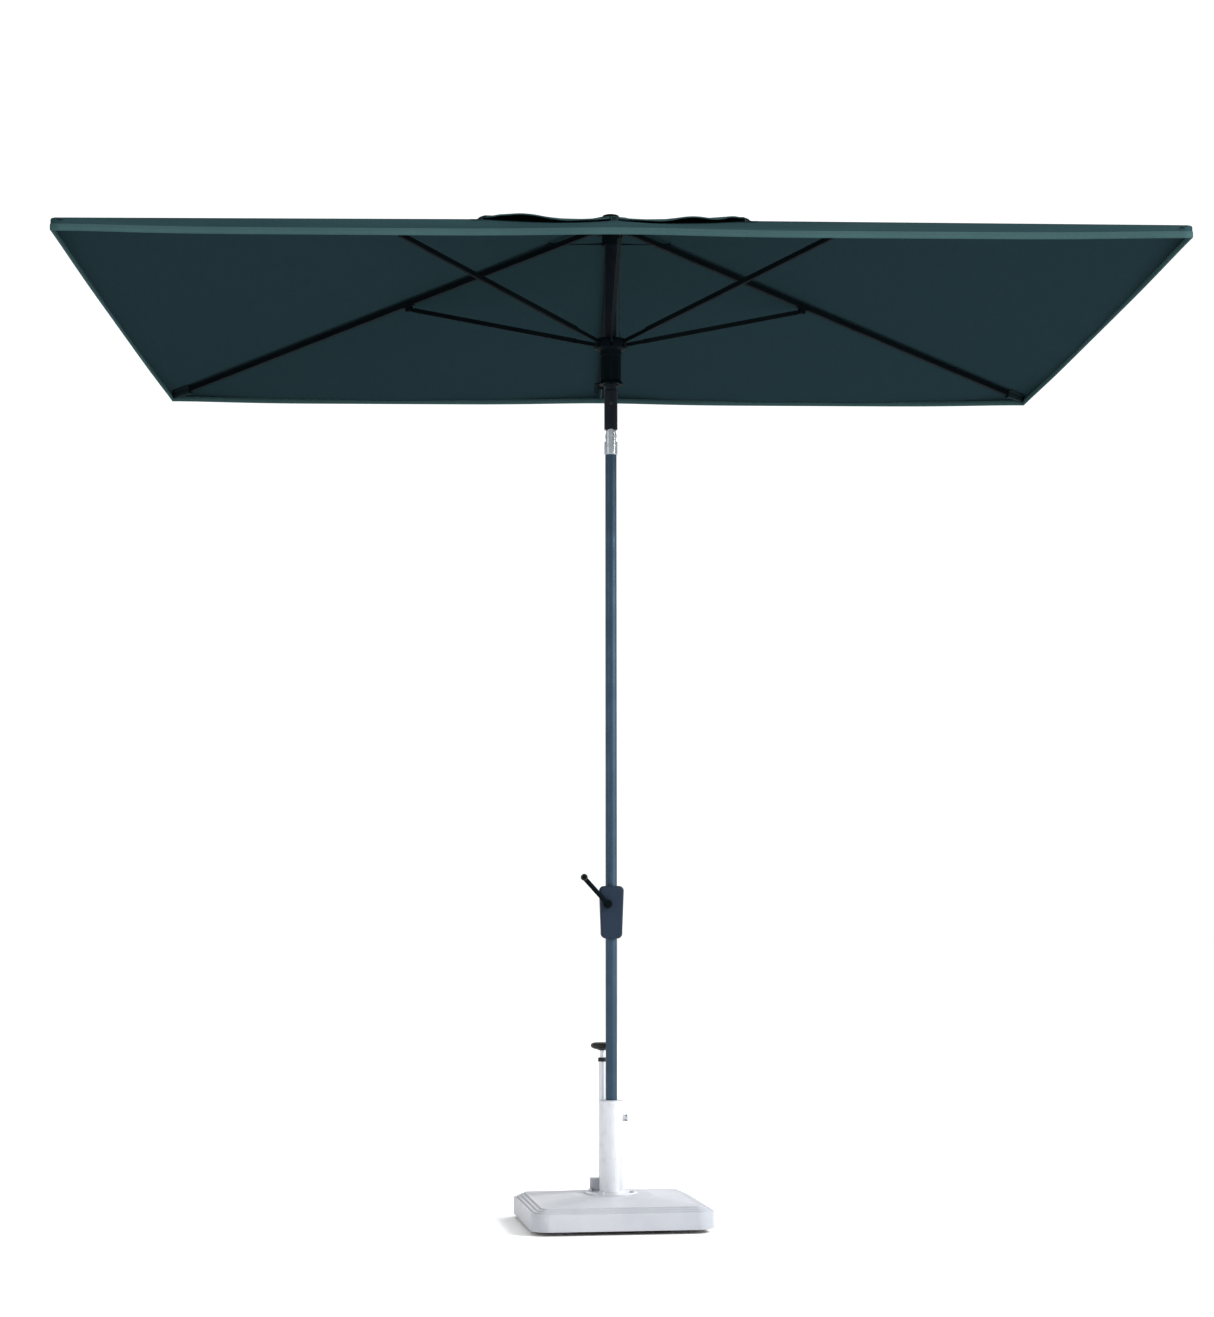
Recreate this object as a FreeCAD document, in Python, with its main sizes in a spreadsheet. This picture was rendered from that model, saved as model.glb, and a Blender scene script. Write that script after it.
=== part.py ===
import FreeCAD, Part
import math
import os
import re
import Sketcher
from FreeCAD import Placement, Rotation, Vector

# Crank-lift patio umbrella in a square weighted base.
# Origin: on the ground under the pole. X runs along the canopy's long side, -Y is the crank side, Z is up.
# Lengths are millimetres and angles are degrees.

DRIVING = {
    # canopy: a low rectangular pyramid with a hanging hem and a smaller vent cap above its opening
    "canopy_length": 2500,
    "canopy_width": 2000,
    "roof_apex": 2544,
    "roof_rim": 2281.5,
    "hem_bottom": 2254,
    "fabric": 2,
    "panel_gap": 0.3,
    "opening_length": 320,
    "opening_width": 256,
    "vent_length": 650,
    "vent_width": 540,
    "vent_apex": 2550,
    "vent_rim": 2484,
    "vent_hem": 2476,
    "vent_eye": 92,
    # folding frame: ribs hang from the top hub, stays join them to the runner
    "hub_pivot_radius": 35,
    "hub_pivot_height": 2525,
    "runner_pivot_radius": 37,
    "runner_pivot_height": 2221,
    "runner_travel": 1030,
    "closed_flare": 4.2,
    "stay_offset": 15,
    "rib_width": 10,
    "rib_height": 13,
    "rib_wall": 1.2,
    "rib_end_gap": 25,
    "rib_tip": 14,
    "rib_plug": 12,
    "stay_height": 12,
    "tongue_thick": 4,
    "tongue_height": 10,
    "rib_tongue": 30,
    "stay_tongue_outer": 20,
    "stay_tongue_inner": 80,
    "slot_width": 5,
    "pin_radius": 2,
    "running_gap": 0.05,
    "seat_gap": 0.02,
    "open_pivot_gap": 0.5,
    "hub_radius": 44,
    "hub_bottom": 2508,
    "hub_top": 2536,
    "hub_core": 24,
    "hub_neck_radius": 22,
    "hub_neck_bottom": 2474,
    "runner_bore": 19.5,
    "runner_radius": 26,
    "runner_crown": 41,
    "runner_bottom": 2114,
    "runner_top": 2231,
    "runner_slot_root": 25.5,
    # pole tubes
    "pole_radius": 14.5,
    "pole_wall": 1.5,
    "socket_gap": 0.1,
    "lower_pole_bottom": 92,
    "lower_pole_top": 775,
    "middle_pole_bottom": 809,
    "middle_pole_top": 1958,
    "upper_pole_bottom": 2030,
    "upper_pole_top": 2496,
    # tilt joint
    "tilt_height": 1981,
    "joint_radius": 17,
    "fork_bottom": 1933,
    "head_bottom": 1998,
    "head_top": 2100,
    "ear_inside": 11.5,
    "ear_round": 16.6,
    "tilt_tongue": 11.2,
    "tilt_tongue_round": 14,
    "rivet_radius": 3,
    "button_height": 2065,
    "button_radius": 5,
    # crank gear: the line leaves the drum on the pole's centre line
    "crank_height": 793,
    "line_radius": 1.25,
    "line_break": 2.5,
    "line_hole_radius": 4,
    "crank_turns": 16,
    "drum_flange": 14,
    "drum_half_width": 10,
    "shaft_radius": 5,
    "housing_bottom": 707,
    "housing_top": 838,
    "housing_half_top": 31,
    "housing_half_bottom": 26,
    "housing_front": 36,
    "housing_rear": 26,
    "housing_wall": 3,
    "case_socket_radius": 18,
    "bearing_radius": 12,
    "bush_radius": 8,
    "boss_radius": 4.5,
    "boss_bottom_x": 20,
    "boss_top_x": 21,
    "screw_radius": 2,
    "screw_start": -20,
    "screw_head_radius": 3.8,
    "screw_head_height": 2.4,
    "crank_length": 89,
    "crank_rise": 48,
    "grip_length": 62,
    # pulley in the hub
    "pulley_height": 2512,
    "pulley_pitch": 11.25,
    "pulley_rim": 12.5,
    "pulley_slot": 7,
    "pulley_pin_length": 24,
    "stud_radius": 4,
    # base
    "base_side": 450,
    "base_corner": 45,
    "base_turn": 6.6,
    "foot_height": 10,
    "base_wall_top": 52,
    "base_top": 76,
    "shell_wall": 4,
    "ridge_rise": 4,
    "ridge_inset": 9,
    "foot_side": 48,
    "foot_x": 140,
    "foot_y": 155,
    "sleeve_radius": 30,
    "sleeve_wall": 2,
    "sleeve_top": 304,
    "flange_radius": 65,
    "flange_thick": 4,
    "flange_bolt_circle": 56,
    "bolt_turn": 58.4,
    "bolt_radius": 4,
    "bolt_length": 34,
    "bolt_head_radius": 6.5,
    "bolt_head_height": 5.5,
    "centre_hole_radius": 20,
    "clamp_height": 262,
    "handle_x": -22,
    "handle_y": 39.2,
    "handle_tube_radius": 9,
    "handle_tube_top": 405,
    "handle_rod_radius": 5.5,
    "handle_grip_top": 447,
    "handle_grip_radius": 29,
    "bracket_length": 46,
    "bracket_width": 30,
    "bracket_height": 30,
    "weld_leg": 3,
    "axle_radius": 4,
    "axle_length": 38,
    "axle_height": 22,
    "wheel_radius": 20,
    "wheel_width": 16,
    "wheel_x": 180,
    "wheel_y": 212,
}


def attach_distance(slope):
    """How far along a rib its stay pivot sits, so that one stay fits the open and the closed umbrella."""
    flare = math.radians(DRIVING["closed_flare"])
    shift = DRIVING["hub_pivot_radius"] - DRIVING["runner_pivot_radius"]
    drop = DRIVING["hub_pivot_height"] - DRIVING["runner_pivot_height"]
    deep = drop + DRIVING["runner_travel"]
    offset = DRIVING["stay_offset"]
    pull = shift * math.sin(slope) + drop * math.cos(slope)
    pull -= shift * math.cos(flare) + deep * math.sin(flare)
    lever = shift * math.cos(slope) - drop * math.sin(slope)
    lever += deep * math.cos(flare) - shift * math.sin(flare)
    return (deep**2 - drop**2 + 2 * offset * pull) / (2 * lever)


def frame_geometry(kind, slope, reach):
    """Derived sizes of one kind of rib and stay: slope in radians, reach is the rib end's radius."""
    along = attach_distance(slope)
    offset = DRIVING["stay_offset"]
    out = DRIVING["hub_pivot_radius"] + along * math.cos(slope) - offset * math.sin(slope)
    up = DRIVING["hub_pivot_height"] - along * math.sin(slope) - offset * math.cos(slope)
    back = DRIVING["runner_pivot_radius"] - out
    down = DRIVING["runner_pivot_height"] - up
    return {
        kind + "_slope": math.degrees(slope),
        kind + "_attach": along,
        kind + "_rib_length": (reach - DRIVING["hub_pivot_radius"]) / math.cos(slope),
        kind + "_stay_out": out,
        kind + "_stay_up": up,
        kind + "_stay_length": math.hypot(back, down),
        kind + "_stay_angle": math.degrees(math.atan2(-down, back)),
    }


half_length = DRIVING["canopy_length"] / 2
half_width = DRIVING["canopy_width"] / 2
half_diagonal = math.hypot(half_length, half_width)
rise = DRIVING["roof_apex"] - DRIVING["roof_rim"]
corner_azimuth = math.degrees(math.atan2(half_width, half_length))
DERIVED = {
    "corner_azimuth": corner_azimuth,
    "drum_pitch": DRIVING["runner_travel"] / (2 * math.pi * DRIVING["crank_turns"]),
}
DERIVED.update(
    frame_geometry("corner", math.atan(rise / half_diagonal), half_diagonal - DRIVING["rib_end_gap"])
)
DERIVED.update(frame_geometry("mid", math.atan(rise / half_width), half_width - DRIVING["rib_tip"] + 4))

doc = FreeCAD.newDocument("patio_umbrella")
sheet = doc.addObject("Spreadsheet::Sheet", "dims")
SIZES = {**DRIVING, **DERIVED}
for row, (alias, number) in enumerate(SIZES.items(), start=1):
    sheet.set(f"A{row}", alias)
    sheet.set(f"B{row}", f"{number:.9g}")
    sheet.setAlias(f"B{row}", alias)
doc.recompute()

parts = {}  # node name -> document object


def formula(text):
    """An expression in sheet aliases, with each alias given its sheet."""
    return re.sub(r"[a-z]\w*", lambda word: "dims." + word.group(), str(text))


def value(text):
    """The number that an expression in sheet aliases gives now."""
    number = sheet.evalExpression(formula(text))
    return float(getattr(number, "Value", number))


def bind(obj, **sizes):
    for name, text in sizes.items():
        obj.setExpression(name, formula(text))
    return obj


def spot(x, y, z):
    return Vector(value(x), value(y), value(z))


def at(x=0, y=0, z=0, turn=None):
    return Placement(spot(x, y, z), turn or Rotation())


ALONG_X = Rotation(Vector(0, 1, 0), 90)
ALONG_Y = Rotation(Vector(1, 0, 0), -90)
ALONG_MINUS_Y = Rotation(Vector(1, 0, 0), 90)


def cylinder(radius, height, where=None):
    obj = bind(doc.addObject("Part::Cylinder", "Cylinder"), Radius=radius, Height=height)
    obj.Placement = where or Placement()
    return obj


def box(length, width, height, where=None):
    """A box centred on its placement in X and Y, standing on it in Z."""
    obj = bind(doc.addObject("Part::Box", "Box"), Length=length, Width=width, Height=height)
    where = where or Placement()
    centre = Placement(spot(f"-({length}) / 2", f"-({width}) / 2", 0), Rotation())
    obj.Placement = where.multiply(centre)
    return obj


def bar(length, width, height, where=None):
    """A box that starts at its placement and runs along X, centred in Y and Z."""
    obj = bind(doc.addObject("Part::Box", "Bar"), Length=length, Width=width, Height=height)
    where = where or Placement()
    centre = Placement(spot(0, f"-({width}) / 2", f"-({height}) / 2"), Rotation())
    obj.Placement = where.multiply(centre)
    return obj


def cross_pin(radius, length, x, z, y=0):
    """A cylinder along Y, centred on y."""
    return cylinder(radius, length, at(x, f"{y} - ({length}) / 2", z, ALONG_Y))


def cut(base, *tools):
    obj = doc.addObject("Part::Cut", "Cut")
    obj.Base = base
    obj.Tool = tools[0] if len(tools) == 1 else fuse(*tools)
    return obj


def fuse(*shapes):
    obj = doc.addObject("Part::MultiFuse", "Fuse")
    obj.Shapes = list(shapes)
    return obj


def common(*shapes):
    obj = doc.addObject("Part::MultiCommon", "Common")
    obj.Shapes = list(shapes)
    return obj


def group(*shapes):
    """Separate solids kept in one node."""
    obj = doc.addObject("Part::Compound", "Group")
    obj.Links = list(shapes)
    return obj


def plane(body, role):
    return next(f for f in body.Origin.OriginFeatures if f.Role == role)


def sketch_on(body, role, lift=0):
    sketch = body.newObject("Sketcher::SketchObject", "Sketch")
    sketch.AttachmentSupport = (plane(body, role), [""])
    sketch.MapMode = "FlatFace"
    sketch.setExpression(".AttachmentOffset.Base.z", formula(lift))
    return sketch


def outline(body, role, points, lift=0):
    """A closed sketch through points, each coordinate bound to the sheet."""
    sketch = sketch_on(body, role, lift)
    ends = [Vector(value(x), value(y), 0) for x, y in points]
    count = len(points)
    for i in range(count):
        sketch.addGeometry(Part.LineSegment(ends[i], ends[(i + 1) % count]), False)
    for i in range(count):
        sketch.addConstraint(Sketcher.Constraint("Coincident", i, 2, (i + 1) % count, 1))
    for i, (x, y) in enumerate(points):
        for kind, text in (("DistanceX", x), ("DistanceY", y)):
            index = sketch.addConstraint(Sketcher.Constraint(kind, -1, 1, i, 1, value(text)))
            sketch.setExpression(f"Constraints[{index}]", formula(text))
    return sketch


def turned(points, where=None):
    """A body of revolution about its own Z, from an outline of (radius, height) points."""
    body = doc.addObject("PartDesign::Body", "Turned")
    sketch = outline(body, "XZ_Plane", points)
    solid = body.newObject("PartDesign::Revolution", "Revolution")
    solid.Profile = sketch
    solid.ReferenceAxis = (sketch, ["V_Axis"])
    solid.Angle = 360
    body.Tip = solid
    body.Placement = where or Placement()
    return body


def ring(inner, outer, bottom, top, where=None):
    return turned([(inner, bottom), (outer, bottom), (outer, top), (inner, top)], where)


def rounded_square(body, side, radius, lift):
    """A sketch of a square with round corners, centred on the body's Z."""
    sketch = sketch_on(body, "XY_Plane", lift)
    half = value(side) / 2
    flat = half - value(radius)
    for i in range(4):
        turn = Rotation(Vector(0, 0, 1), 90 * i)
        start = turn.multVec(Vector(half, -flat, 0))
        end = turn.multVec(Vector(half, flat, 0))
        centre = turn.multVec(Vector(flat, flat, 0))
        circle = Part.Circle(centre, Vector(0, 0, 1), half - flat)
        sketch.addGeometry(Part.LineSegment(start, end), False)
        sweep = math.radians(90 * i)
        sketch.addGeometry(Part.ArcOfCircle(circle, sweep, sweep + math.pi / 2), False)
    for i in range(4):
        line = 2 * i
        sketch.addConstraint(Sketcher.Constraint("Tangent", line, 2, line + 1, 1))
        sketch.addConstraint(Sketcher.Constraint("Tangent", line + 1, 2, (line + 2) % 8, 1))
        sketch.addConstraint(Sketcher.Constraint("Vertical" if i % 2 == 0 else "Horizontal", line))
    for i in range(3):
        sketch.addConstraint(Sketcher.Constraint("Equal", 1, 3 + 2 * i))
    bound = (
        ("DistanceX", 0, 1, f"({side}) / 2"),
        ("DistanceY", 2, 1, f"({side}) / 2"),
        ("DistanceX", 4, 1, f"-({side}) / 2"),
        ("DistanceY", 6, 1, f"-({side}) / 2"),
    )
    for kind, line, end, text in bound:
        index = sketch.addConstraint(Sketcher.Constraint(kind, -1, 1, line, end, value(text)))
        sketch.setExpression(f"Constraints[{index}]", formula(text))
    index = sketch.addConstraint(Sketcher.Constraint("Radius", 1, value(radius)))
    sketch.setExpression(f"Constraints[{index}]", formula(radius))
    return sketch


def pad(body, sketch, length, both_ways=False):
    solid = body.newObject("PartDesign::Pad", "Pad")
    solid.Profile = sketch
    solid.Midplane = both_ways
    bind(solid, Length=length)
    body.Tip = solid
    return solid


def prism(role, points, length, both_ways=False):
    body = doc.addObject("PartDesign::Body", "Prism")
    pad(body, outline(body, role, points), length, both_ways)
    return body


def round_edges(base, radius, wanted):
    """Rounds the edges that the test picks."""
    doc.recompute()
    picked = [n for n, edge in enumerate(base.Shape.Edges, start=1) if wanted(edge)]
    obj = doc.addObject("Part::Fillet", "Rounded")
    obj.Base = base
    obj.Edges = [(n, value(radius), value(radius)) for n in picked]
    return obj


def node(name, obj, where=None):
    """Names a finished sub-part and puts it in place."""
    obj.Label = name
    if where is not None:
        obj.Placement = where.multiply(obj.Placement)
    parts[name] = obj
    return obj


BASE_TURN = Placement(Vector(), Rotation(Vector(0, 0, 1), value("base_turn")))


def around(azimuth, out, height, tilt=0):
    """A placement at a radius and height on an azimuth, its X pointing out and turned down by tilt."""
    turn = Rotation(Vector(0, 0, 1), azimuth)
    place = turn.multVec(Vector(out, 0, 0)) + Vector(0, 0, height)
    return Placement(place, turn.multiply(Rotation(Vector(0, 1, 0), tilt)))


RIBS = {
    "right_rear": ("corner", corner_azimuth),
    "mid_rear": ("mid", 90),
    "left_rear": ("corner", 180 - corner_azimuth),
    "left_front": ("corner", 180 + corner_azimuth),
    "mid_front": ("mid", 270),
    "right_front": ("corner", 360 - corner_azimuth),
}


# ---- base ----------------------------------------------------------------------------------------


def square_step(body, side, bottom, height):
    radius = f"base_corner - (base_side - ({side})) / 2"
    return pad(body, rounded_square(body, side, radius, bottom), height)


def dome(body, low_side, high_side, bottom, top):
    """The sloped top between two rounded squares."""
    loft = body.newObject("PartDesign::AdditiveLoft", "Dome")
    low_corner = f"base_corner - (base_side - ({low_side})) / 2 + 25"
    loft.Profile = rounded_square(body, low_side, low_corner, bottom)
    loft.Sections = [rounded_square(body, high_side, "base_corner + 15", top)]
    loft.Ruled = True
    body.Tip = loft
    return loft


def wheel_space(side):
    place = at(f"{side} * wheel_x", "wheel_y", "foot_height - 6")
    return box("wheel_width + 10", "2 * wheel_radius + 10", "2 * wheel_radius + 4", place)


def base_block(inset):
    """The base's outer form, or the form of its filling when inset is the shell's wall."""
    body = doc.addObject("PartDesign::Body", "BaseForm")
    side = f"base_side - 2 * {inset}"
    wall = f"base_wall_top - foot_height - {inset}"
    square_step(body, side, "foot_height", wall)
    ridges = 3
    for step in range(1, ridges + 1):
        lift = f"base_wall_top - {inset} + {step - 1} * ridge_rise"
        square_step(body, f"{side} - {2 * step} * ridge_inset", lift, "ridge_rise")
    lift = f"base_wall_top - {inset} + {ridges} * ridge_rise"
    dome_side = f"{side} - {2 * ridges + 2} * ridge_inset"
    dome(body, dome_side, "flange_radius * 3", lift, f"base_top - {inset}")
    return body


def axle(side, gap=0):
    where = at(f"{side} * wheel_x - axle_length / 2", "wheel_y", "axle_height", ALONG_X)
    return cylinder(f"axle_radius + {gap}", "axle_length", where)


SIDES = (-1, 1)
BOLT_AZIMUTHS = [value("bolt_turn") + 90 * quarter for quarter in range(4)]


def bolt_at(radius, length, low, azimuth):
    return cylinder(radius, length, around(azimuth, value("flange_bolt_circle"), value(low)))


def base_openings():
    """The pole's hole, the wheel spaces and the holes for the axles and bolts."""
    made = [cylinder("centre_hole_radius", "2 * base_top")]
    made += [wheel_space(side) for side in SIDES]
    made += [axle(side, "seat_gap") for side in SIDES]
    made += [bolt_at("bolt_radius + seat_gap", 60, "base_top - 36", azimuth) for azimuth in BOLT_AZIMUTHS]
    return made


shell_solid = cut(base_block(0), base_block("shell_wall"))
node("base_shell", cut(shell_solid, *base_openings()), BASE_TURN)
node("base_ballast", cut(base_block("shell_wall"), *base_openings()), BASE_TURN)


def foot(x, y):
    block = box("foot_side", "foot_side", "foot_height", at(f"{x} * foot_x", f"{y} * foot_y", 0))
    return round_edges(block, 8, lambda edge: abs(edge.tangentAt(0).z) > 0.9)


node("base_feet", group(*[foot(x, y) for x in SIDES for y in SIDES]), BASE_TURN)
node("wheel_axles", group(*[axle(side) for side in SIDES]), BASE_TURN)
wheel_bore = "axle_radius + running_gap"
wheel_outline = [
    (wheel_bore, "-wheel_width / 2"),
    (9, "-wheel_width / 2"),
    (11, "-wheel_width / 2 + 2"),
    (14, "-wheel_width / 2 + 2"),
    (16, "-wheel_width / 2"),
    ("wheel_radius - 2", "-wheel_width / 2"),
    ("wheel_radius", "-wheel_width / 2 + 2"),
    ("wheel_radius", "wheel_width / 2 - 2"),
    ("wheel_radius - 2", "wheel_width / 2"),
    (16, "wheel_width / 2"),
    (14, "wheel_width / 2 - 2"),
    (11, "wheel_width / 2 - 2"),
    (9, "wheel_width / 2"),
    (wheel_bore, "wheel_width / 2"),
]
for name, side in (("wheel_left", -1), ("wheel_right", 1)):
    where = at(f"{side} * wheel_x", "wheel_y", "axle_height", ALONG_X)
    node(name, turned(wheel_outline, where), BASE_TURN)

sleeve_inner = "sleeve_radius - sleeve_wall"
sleeve_tube = turned(
    [
        (sleeve_inner, "base_top"),
        ("flange_radius", "base_top"),
        ("flange_radius", "base_top + flange_thick - 1"),
        ("flange_radius - 1", "base_top + flange_thick"),
        ("sleeve_radius + weld_leg", "base_top + flange_thick"),
        ("sleeve_radius", "base_top + flange_thick + weld_leg"),
        ("sleeve_radius", "sleeve_top"),
        (sleeve_inner, "sleeve_top"),
    ]
)
clamp_nut = cylinder(9, 3.6, at("sleeve_radius - 0.6", 0, "clamp_height", ALONG_X))
clamp_bore = cylinder("4 + running_gap", 30, at("sleeve_radius - 6", 0, "clamp_height", ALONG_X))
flange_holes = [
    bolt_at("bolt_radius + seat_gap", 20, "base_top - 5", azimuth + value("base_turn"))
    for azimuth in BOLT_AZIMUTHS
]
sleeve_hollow = cylinder(sleeve_inner, "sleeve_top", at(0, 0, 10))
node("base_sleeve", cut(fuse(sleeve_tube, clamp_nut), clamp_bore, sleeve_hollow, *flange_holes))
node("sleeve_collar", ring("sleeve_radius", "sleeve_radius + 0.75", "sleeve_top - 15", "sleeve_top"))
bush_inner = "pole_radius + 0.3"
foot_cup = turned(
    [
        (0, "base_top + 1"),
        (sleeve_inner, "base_top + 1"),
        (sleeve_inner, "base_top + 40"),
        (bush_inner, "base_top + 40"),
        (bush_inner, "lower_pole_bottom - 8"),
        (0, "lower_pole_bottom - 8"),
    ]
)
top_bush = turned(
    [
        (bush_inner, "sleeve_top - 34"),
        (sleeve_inner, "sleeve_top - 34"),
        (sleeve_inner, "sleeve_top"),
        ("sleeve_radius", "sleeve_top"),
        ("sleeve_radius - 1", "sleeve_top + 2"),
        (bush_inner, "sleeve_top + 2"),
    ]
)
node("sleeve_bushes", group(foot_cup, top_bush))


flange_level = "base_top + flange_thick"


def flange_bolt(azimuth):
    shank = bolt_at("bolt_radius", "bolt_length", flange_level + " - bolt_length", azimuth)
    head = bolt_at("bolt_head_radius", "bolt_head_height", flange_level, azimuth)
    return fuse(shank, head)


node("flange_bolts", group(*[flange_bolt(azimuth) for azimuth in BOLT_AZIMUTHS]), BASE_TURN)

clamp_outline = [
    (0, -14.9),
    (4, -14.9),
    (4, 3.3),
    (7.5, 3.3),
    (9, 5),
    (9, 9.5),
    (7.5, 11.3),
    (0, 11.3),
]
node("clamp_screw", turned(clamp_outline, at("sleeve_radius", 0, "clamp_height", ALONG_X)))

# pull handle: a rod in a guide tube, its foot held in a bracket on the base
handle_place = at("handle_x", "handle_y", 0)
handle_outline = [
    ("handle_rod_radius + 0.2", flange_level + " + 4"),
    ("handle_tube_radius", flange_level + " + 4"),
    ("handle_tube_radius", "handle_tube_top"),
    ("handle_rod_radius + 0.2", "handle_tube_top"),
]
node("handle_tube", turned(handle_outline, handle_place))
handle_ring_outline = [
    ("handle_tube_radius + seat_gap", "handle_tube_top - 6"),
    ("handle_tube_radius + 1.6", "handle_tube_top - 6"),
    ("handle_tube_radius + 1.6", "handle_tube_top + 2"),
    ("handle_tube_radius", "handle_tube_top + 4"),
    ("handle_rod_radius + 0.2", "handle_tube_top + 4"),
    ("handle_rod_radius + 0.2", "handle_tube_top"),
    ("handle_tube_radius + seat_gap", "handle_tube_top"),
]
node("handle_ring", turned(handle_ring_outline, handle_place))
bracket_place = at("handle_x - 8", "handle_y + 7", flange_level)
bracket_block = box("bracket_length", "bracket_width", "bracket_height", bracket_place)
bracket_rounded = round_edges(bracket_block, 6, lambda edge: abs(edge.tangentAt(0).z) > 0.9)
bore_place = at("handle_x", "handle_y", flange_level + " + 4")
bracket_bore = cylinder("handle_tube_radius + seat_gap", "2 * bracket_height", bore_place)
sleeve_room = cylinder("sleeve_radius + 0.3", 60, at(0, 0, "base_top"))
weld_room = turned(
    [
        (0, "base_top"),
        ("sleeve_radius + weld_leg + 0.3", "base_top"),
        ("sleeve_radius + weld_leg + 0.3", flange_level + " + 0.3"),
        ("sleeve_radius + 0.3", flange_level + " + weld_leg + 0.3"),
        (0, flange_level + " + weld_leg + 0.3"),
    ]
)
node("handle_bracket", cut(bracket_rounded, bracket_bore, sleeve_room, weld_room))
rod_outline = [
    (0, flange_level + " + 6"),
    ("handle_rod_radius", flange_level + " + 6"),
    ("handle_rod_radius", "handle_grip_top - 12"),
    (0, "handle_grip_top - 12"),
]
node("handle_rod", turned(rod_outline, handle_place))
grip_outline = [
    ("handle_rod_radius + seat_gap", "handle_grip_top - 20"),
    ("handle_rod_radius + 5", "handle_grip_top - 20"),
    ("handle_grip_radius - 7", "handle_grip_top - 16"),
    ("handle_grip_radius - 1", "handle_grip_top - 12"),
    ("handle_grip_radius", "handle_grip_top - 8"),
    ("handle_grip_radius - 2", "handle_grip_top - 3.5"),
    ("handle_grip_radius - 9", "handle_grip_top - 1"),
    (0, "handle_grip_top"),
    (0, "handle_grip_top - 12"),
    ("handle_rod_radius + seat_gap", "handle_grip_top - 12"),
]
node("handle_grip", turned(grip_outline, handle_place))


# ---- pole ----------------------------------------------------------------------------------------


pole_inner = "pole_radius - pole_wall"
node("lower_pole", ring(pole_inner, "pole_radius", "lower_pole_bottom", "lower_pole_top"))
foot_plug_outline = [
    (0, "lower_pole_bottom - 7.7"),
    ("pole_radius - 1", "lower_pole_bottom - 7.7"),
    ("pole_radius", "lower_pole_bottom - 6.7"),
    ("pole_radius", "lower_pole_bottom"),
    (pole_inner, "lower_pole_bottom"),
    (pole_inner, "lower_pole_bottom + 18"),
    (0, "lower_pole_bottom + 18"),
]
node("pole_foot_plug", turned(foot_plug_outline))
node("middle_pole", ring(pole_inner, "pole_radius", "middle_pole_bottom", "middle_pole_top"))


def button_hole():
    place = at(0, "-joint_radius - 3", "button_height", ALONG_Y)
    return cylinder("button_radius + 0.2", 12, place)


upper_tube = ring(pole_inner, "pole_radius", "upper_pole_bottom", "upper_pole_top")
node("upper_pole", cut(upper_tube, button_hole()))
lower_line = "tilt_height - tilt_tongue_round - 1 - crank_height"
node("lift_line_lower", cylinder("line_radius", lower_line, at(0, 0, "crank_height")))
upper_line = "pulley_height - tilt_height - line_break"
node("lift_line_upper", cylinder("line_radius", upper_line, at(0, 0, "tilt_height + line_break")))


# ---- tilt joint ----------------------------------------------------------------------------------


socket = "pole_radius + socket_gap"
fork_stem = turned(
    [
        (socket, "fork_bottom"),
        ("joint_radius - 1.5", "fork_bottom"),
        ("joint_radius", "fork_bottom + 1.5"),
        ("joint_radius", "tilt_height"),
        ("line_hole_radius", "tilt_height"),
        ("line_hole_radius", "middle_pole_top"),
        (socket, "middle_pole_top"),
    ]
)
ear_block = common(
    cylinder("joint_radius", 40, at(0, 0, "tilt_height - 20")),
    cross_pin("ear_round", 60, 0, "tilt_height"),
)
fork_slot = box(60, "2 * ear_inside", 60, at(0, 0, "tilt_height - 15"))
fork_line_hole = cylinder("line_hole_radius", 60, at(0, 0, "tilt_height - 40"))
rivet_hole = cross_pin("rivet_radius + seat_gap", 60, 0, "tilt_height")
node("tilt_fork", cut(fuse(fork_stem, ear_block), fork_slot, fork_line_hole, rivet_hole))

head_sleeve = turned(
    [
        ("line_hole_radius", "head_bottom"),
        ("joint_radius", "head_bottom"),
        ("joint_radius", "head_top - 3"),
        ("joint_radius - 1.5", "head_top"),
        (socket, "head_top"),
        (socket, "upper_pole_bottom"),
        ("line_hole_radius", "upper_pole_bottom"),
    ]
)
tongue_round = cross_pin("tilt_tongue_round", "2 * tilt_tongue", 0, "tilt_height")
tongue_neck = box(24, "2 * tilt_tongue", "head_bottom - tilt_height + 2", at(0, 0, "tilt_height"))
head_line_hole = cylinder("line_hole_radius", 60, at(0, 0, "tilt_height - 20"))
tongue_bore = cross_pin("rivet_radius + running_gap", 60, 0, "tilt_height")
tongue = common(fuse(tongue_round, tongue_neck), cylinder("joint_radius", 3000))
node("tilt_head", cut(fuse(head_sleeve, tongue), head_line_hole, tongue_bore, button_hole()))


def tilt_rivet(side):
    outward = ALONG_Y if side > 0 else ALONG_MINUS_Y
    shank = cylinder("rivet_radius", 9, at(0, f"{side} * 8", "tilt_height", outward))
    head = cylinder("rivet_radius * 1.5", 1, at(0, f"{side} * joint_radius", "tilt_height", outward))
    return fuse(shank, head)


node("tilt_rivets", group(*[tilt_rivet(side) for side in SIDES]))
button_outline = [
    (0, 9.5),
    (6.5, 9.5),
    (6.5, 11),
    ("button_radius", 11),
    ("button_radius", 17.5),
    ("button_radius - 1", 18.5),
    (0, 18.5),
]
node("tilt_button", turned(button_outline, at(0, 0, "button_height", ALONG_MINUS_Y)))
node("button_spring", ring(3.2, 4.2, 3, 9.5, at(0, 0, "button_height", ALONG_MINUS_Y)))


# ---- crank gear ----------------------------------------------------------------------------------


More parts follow.
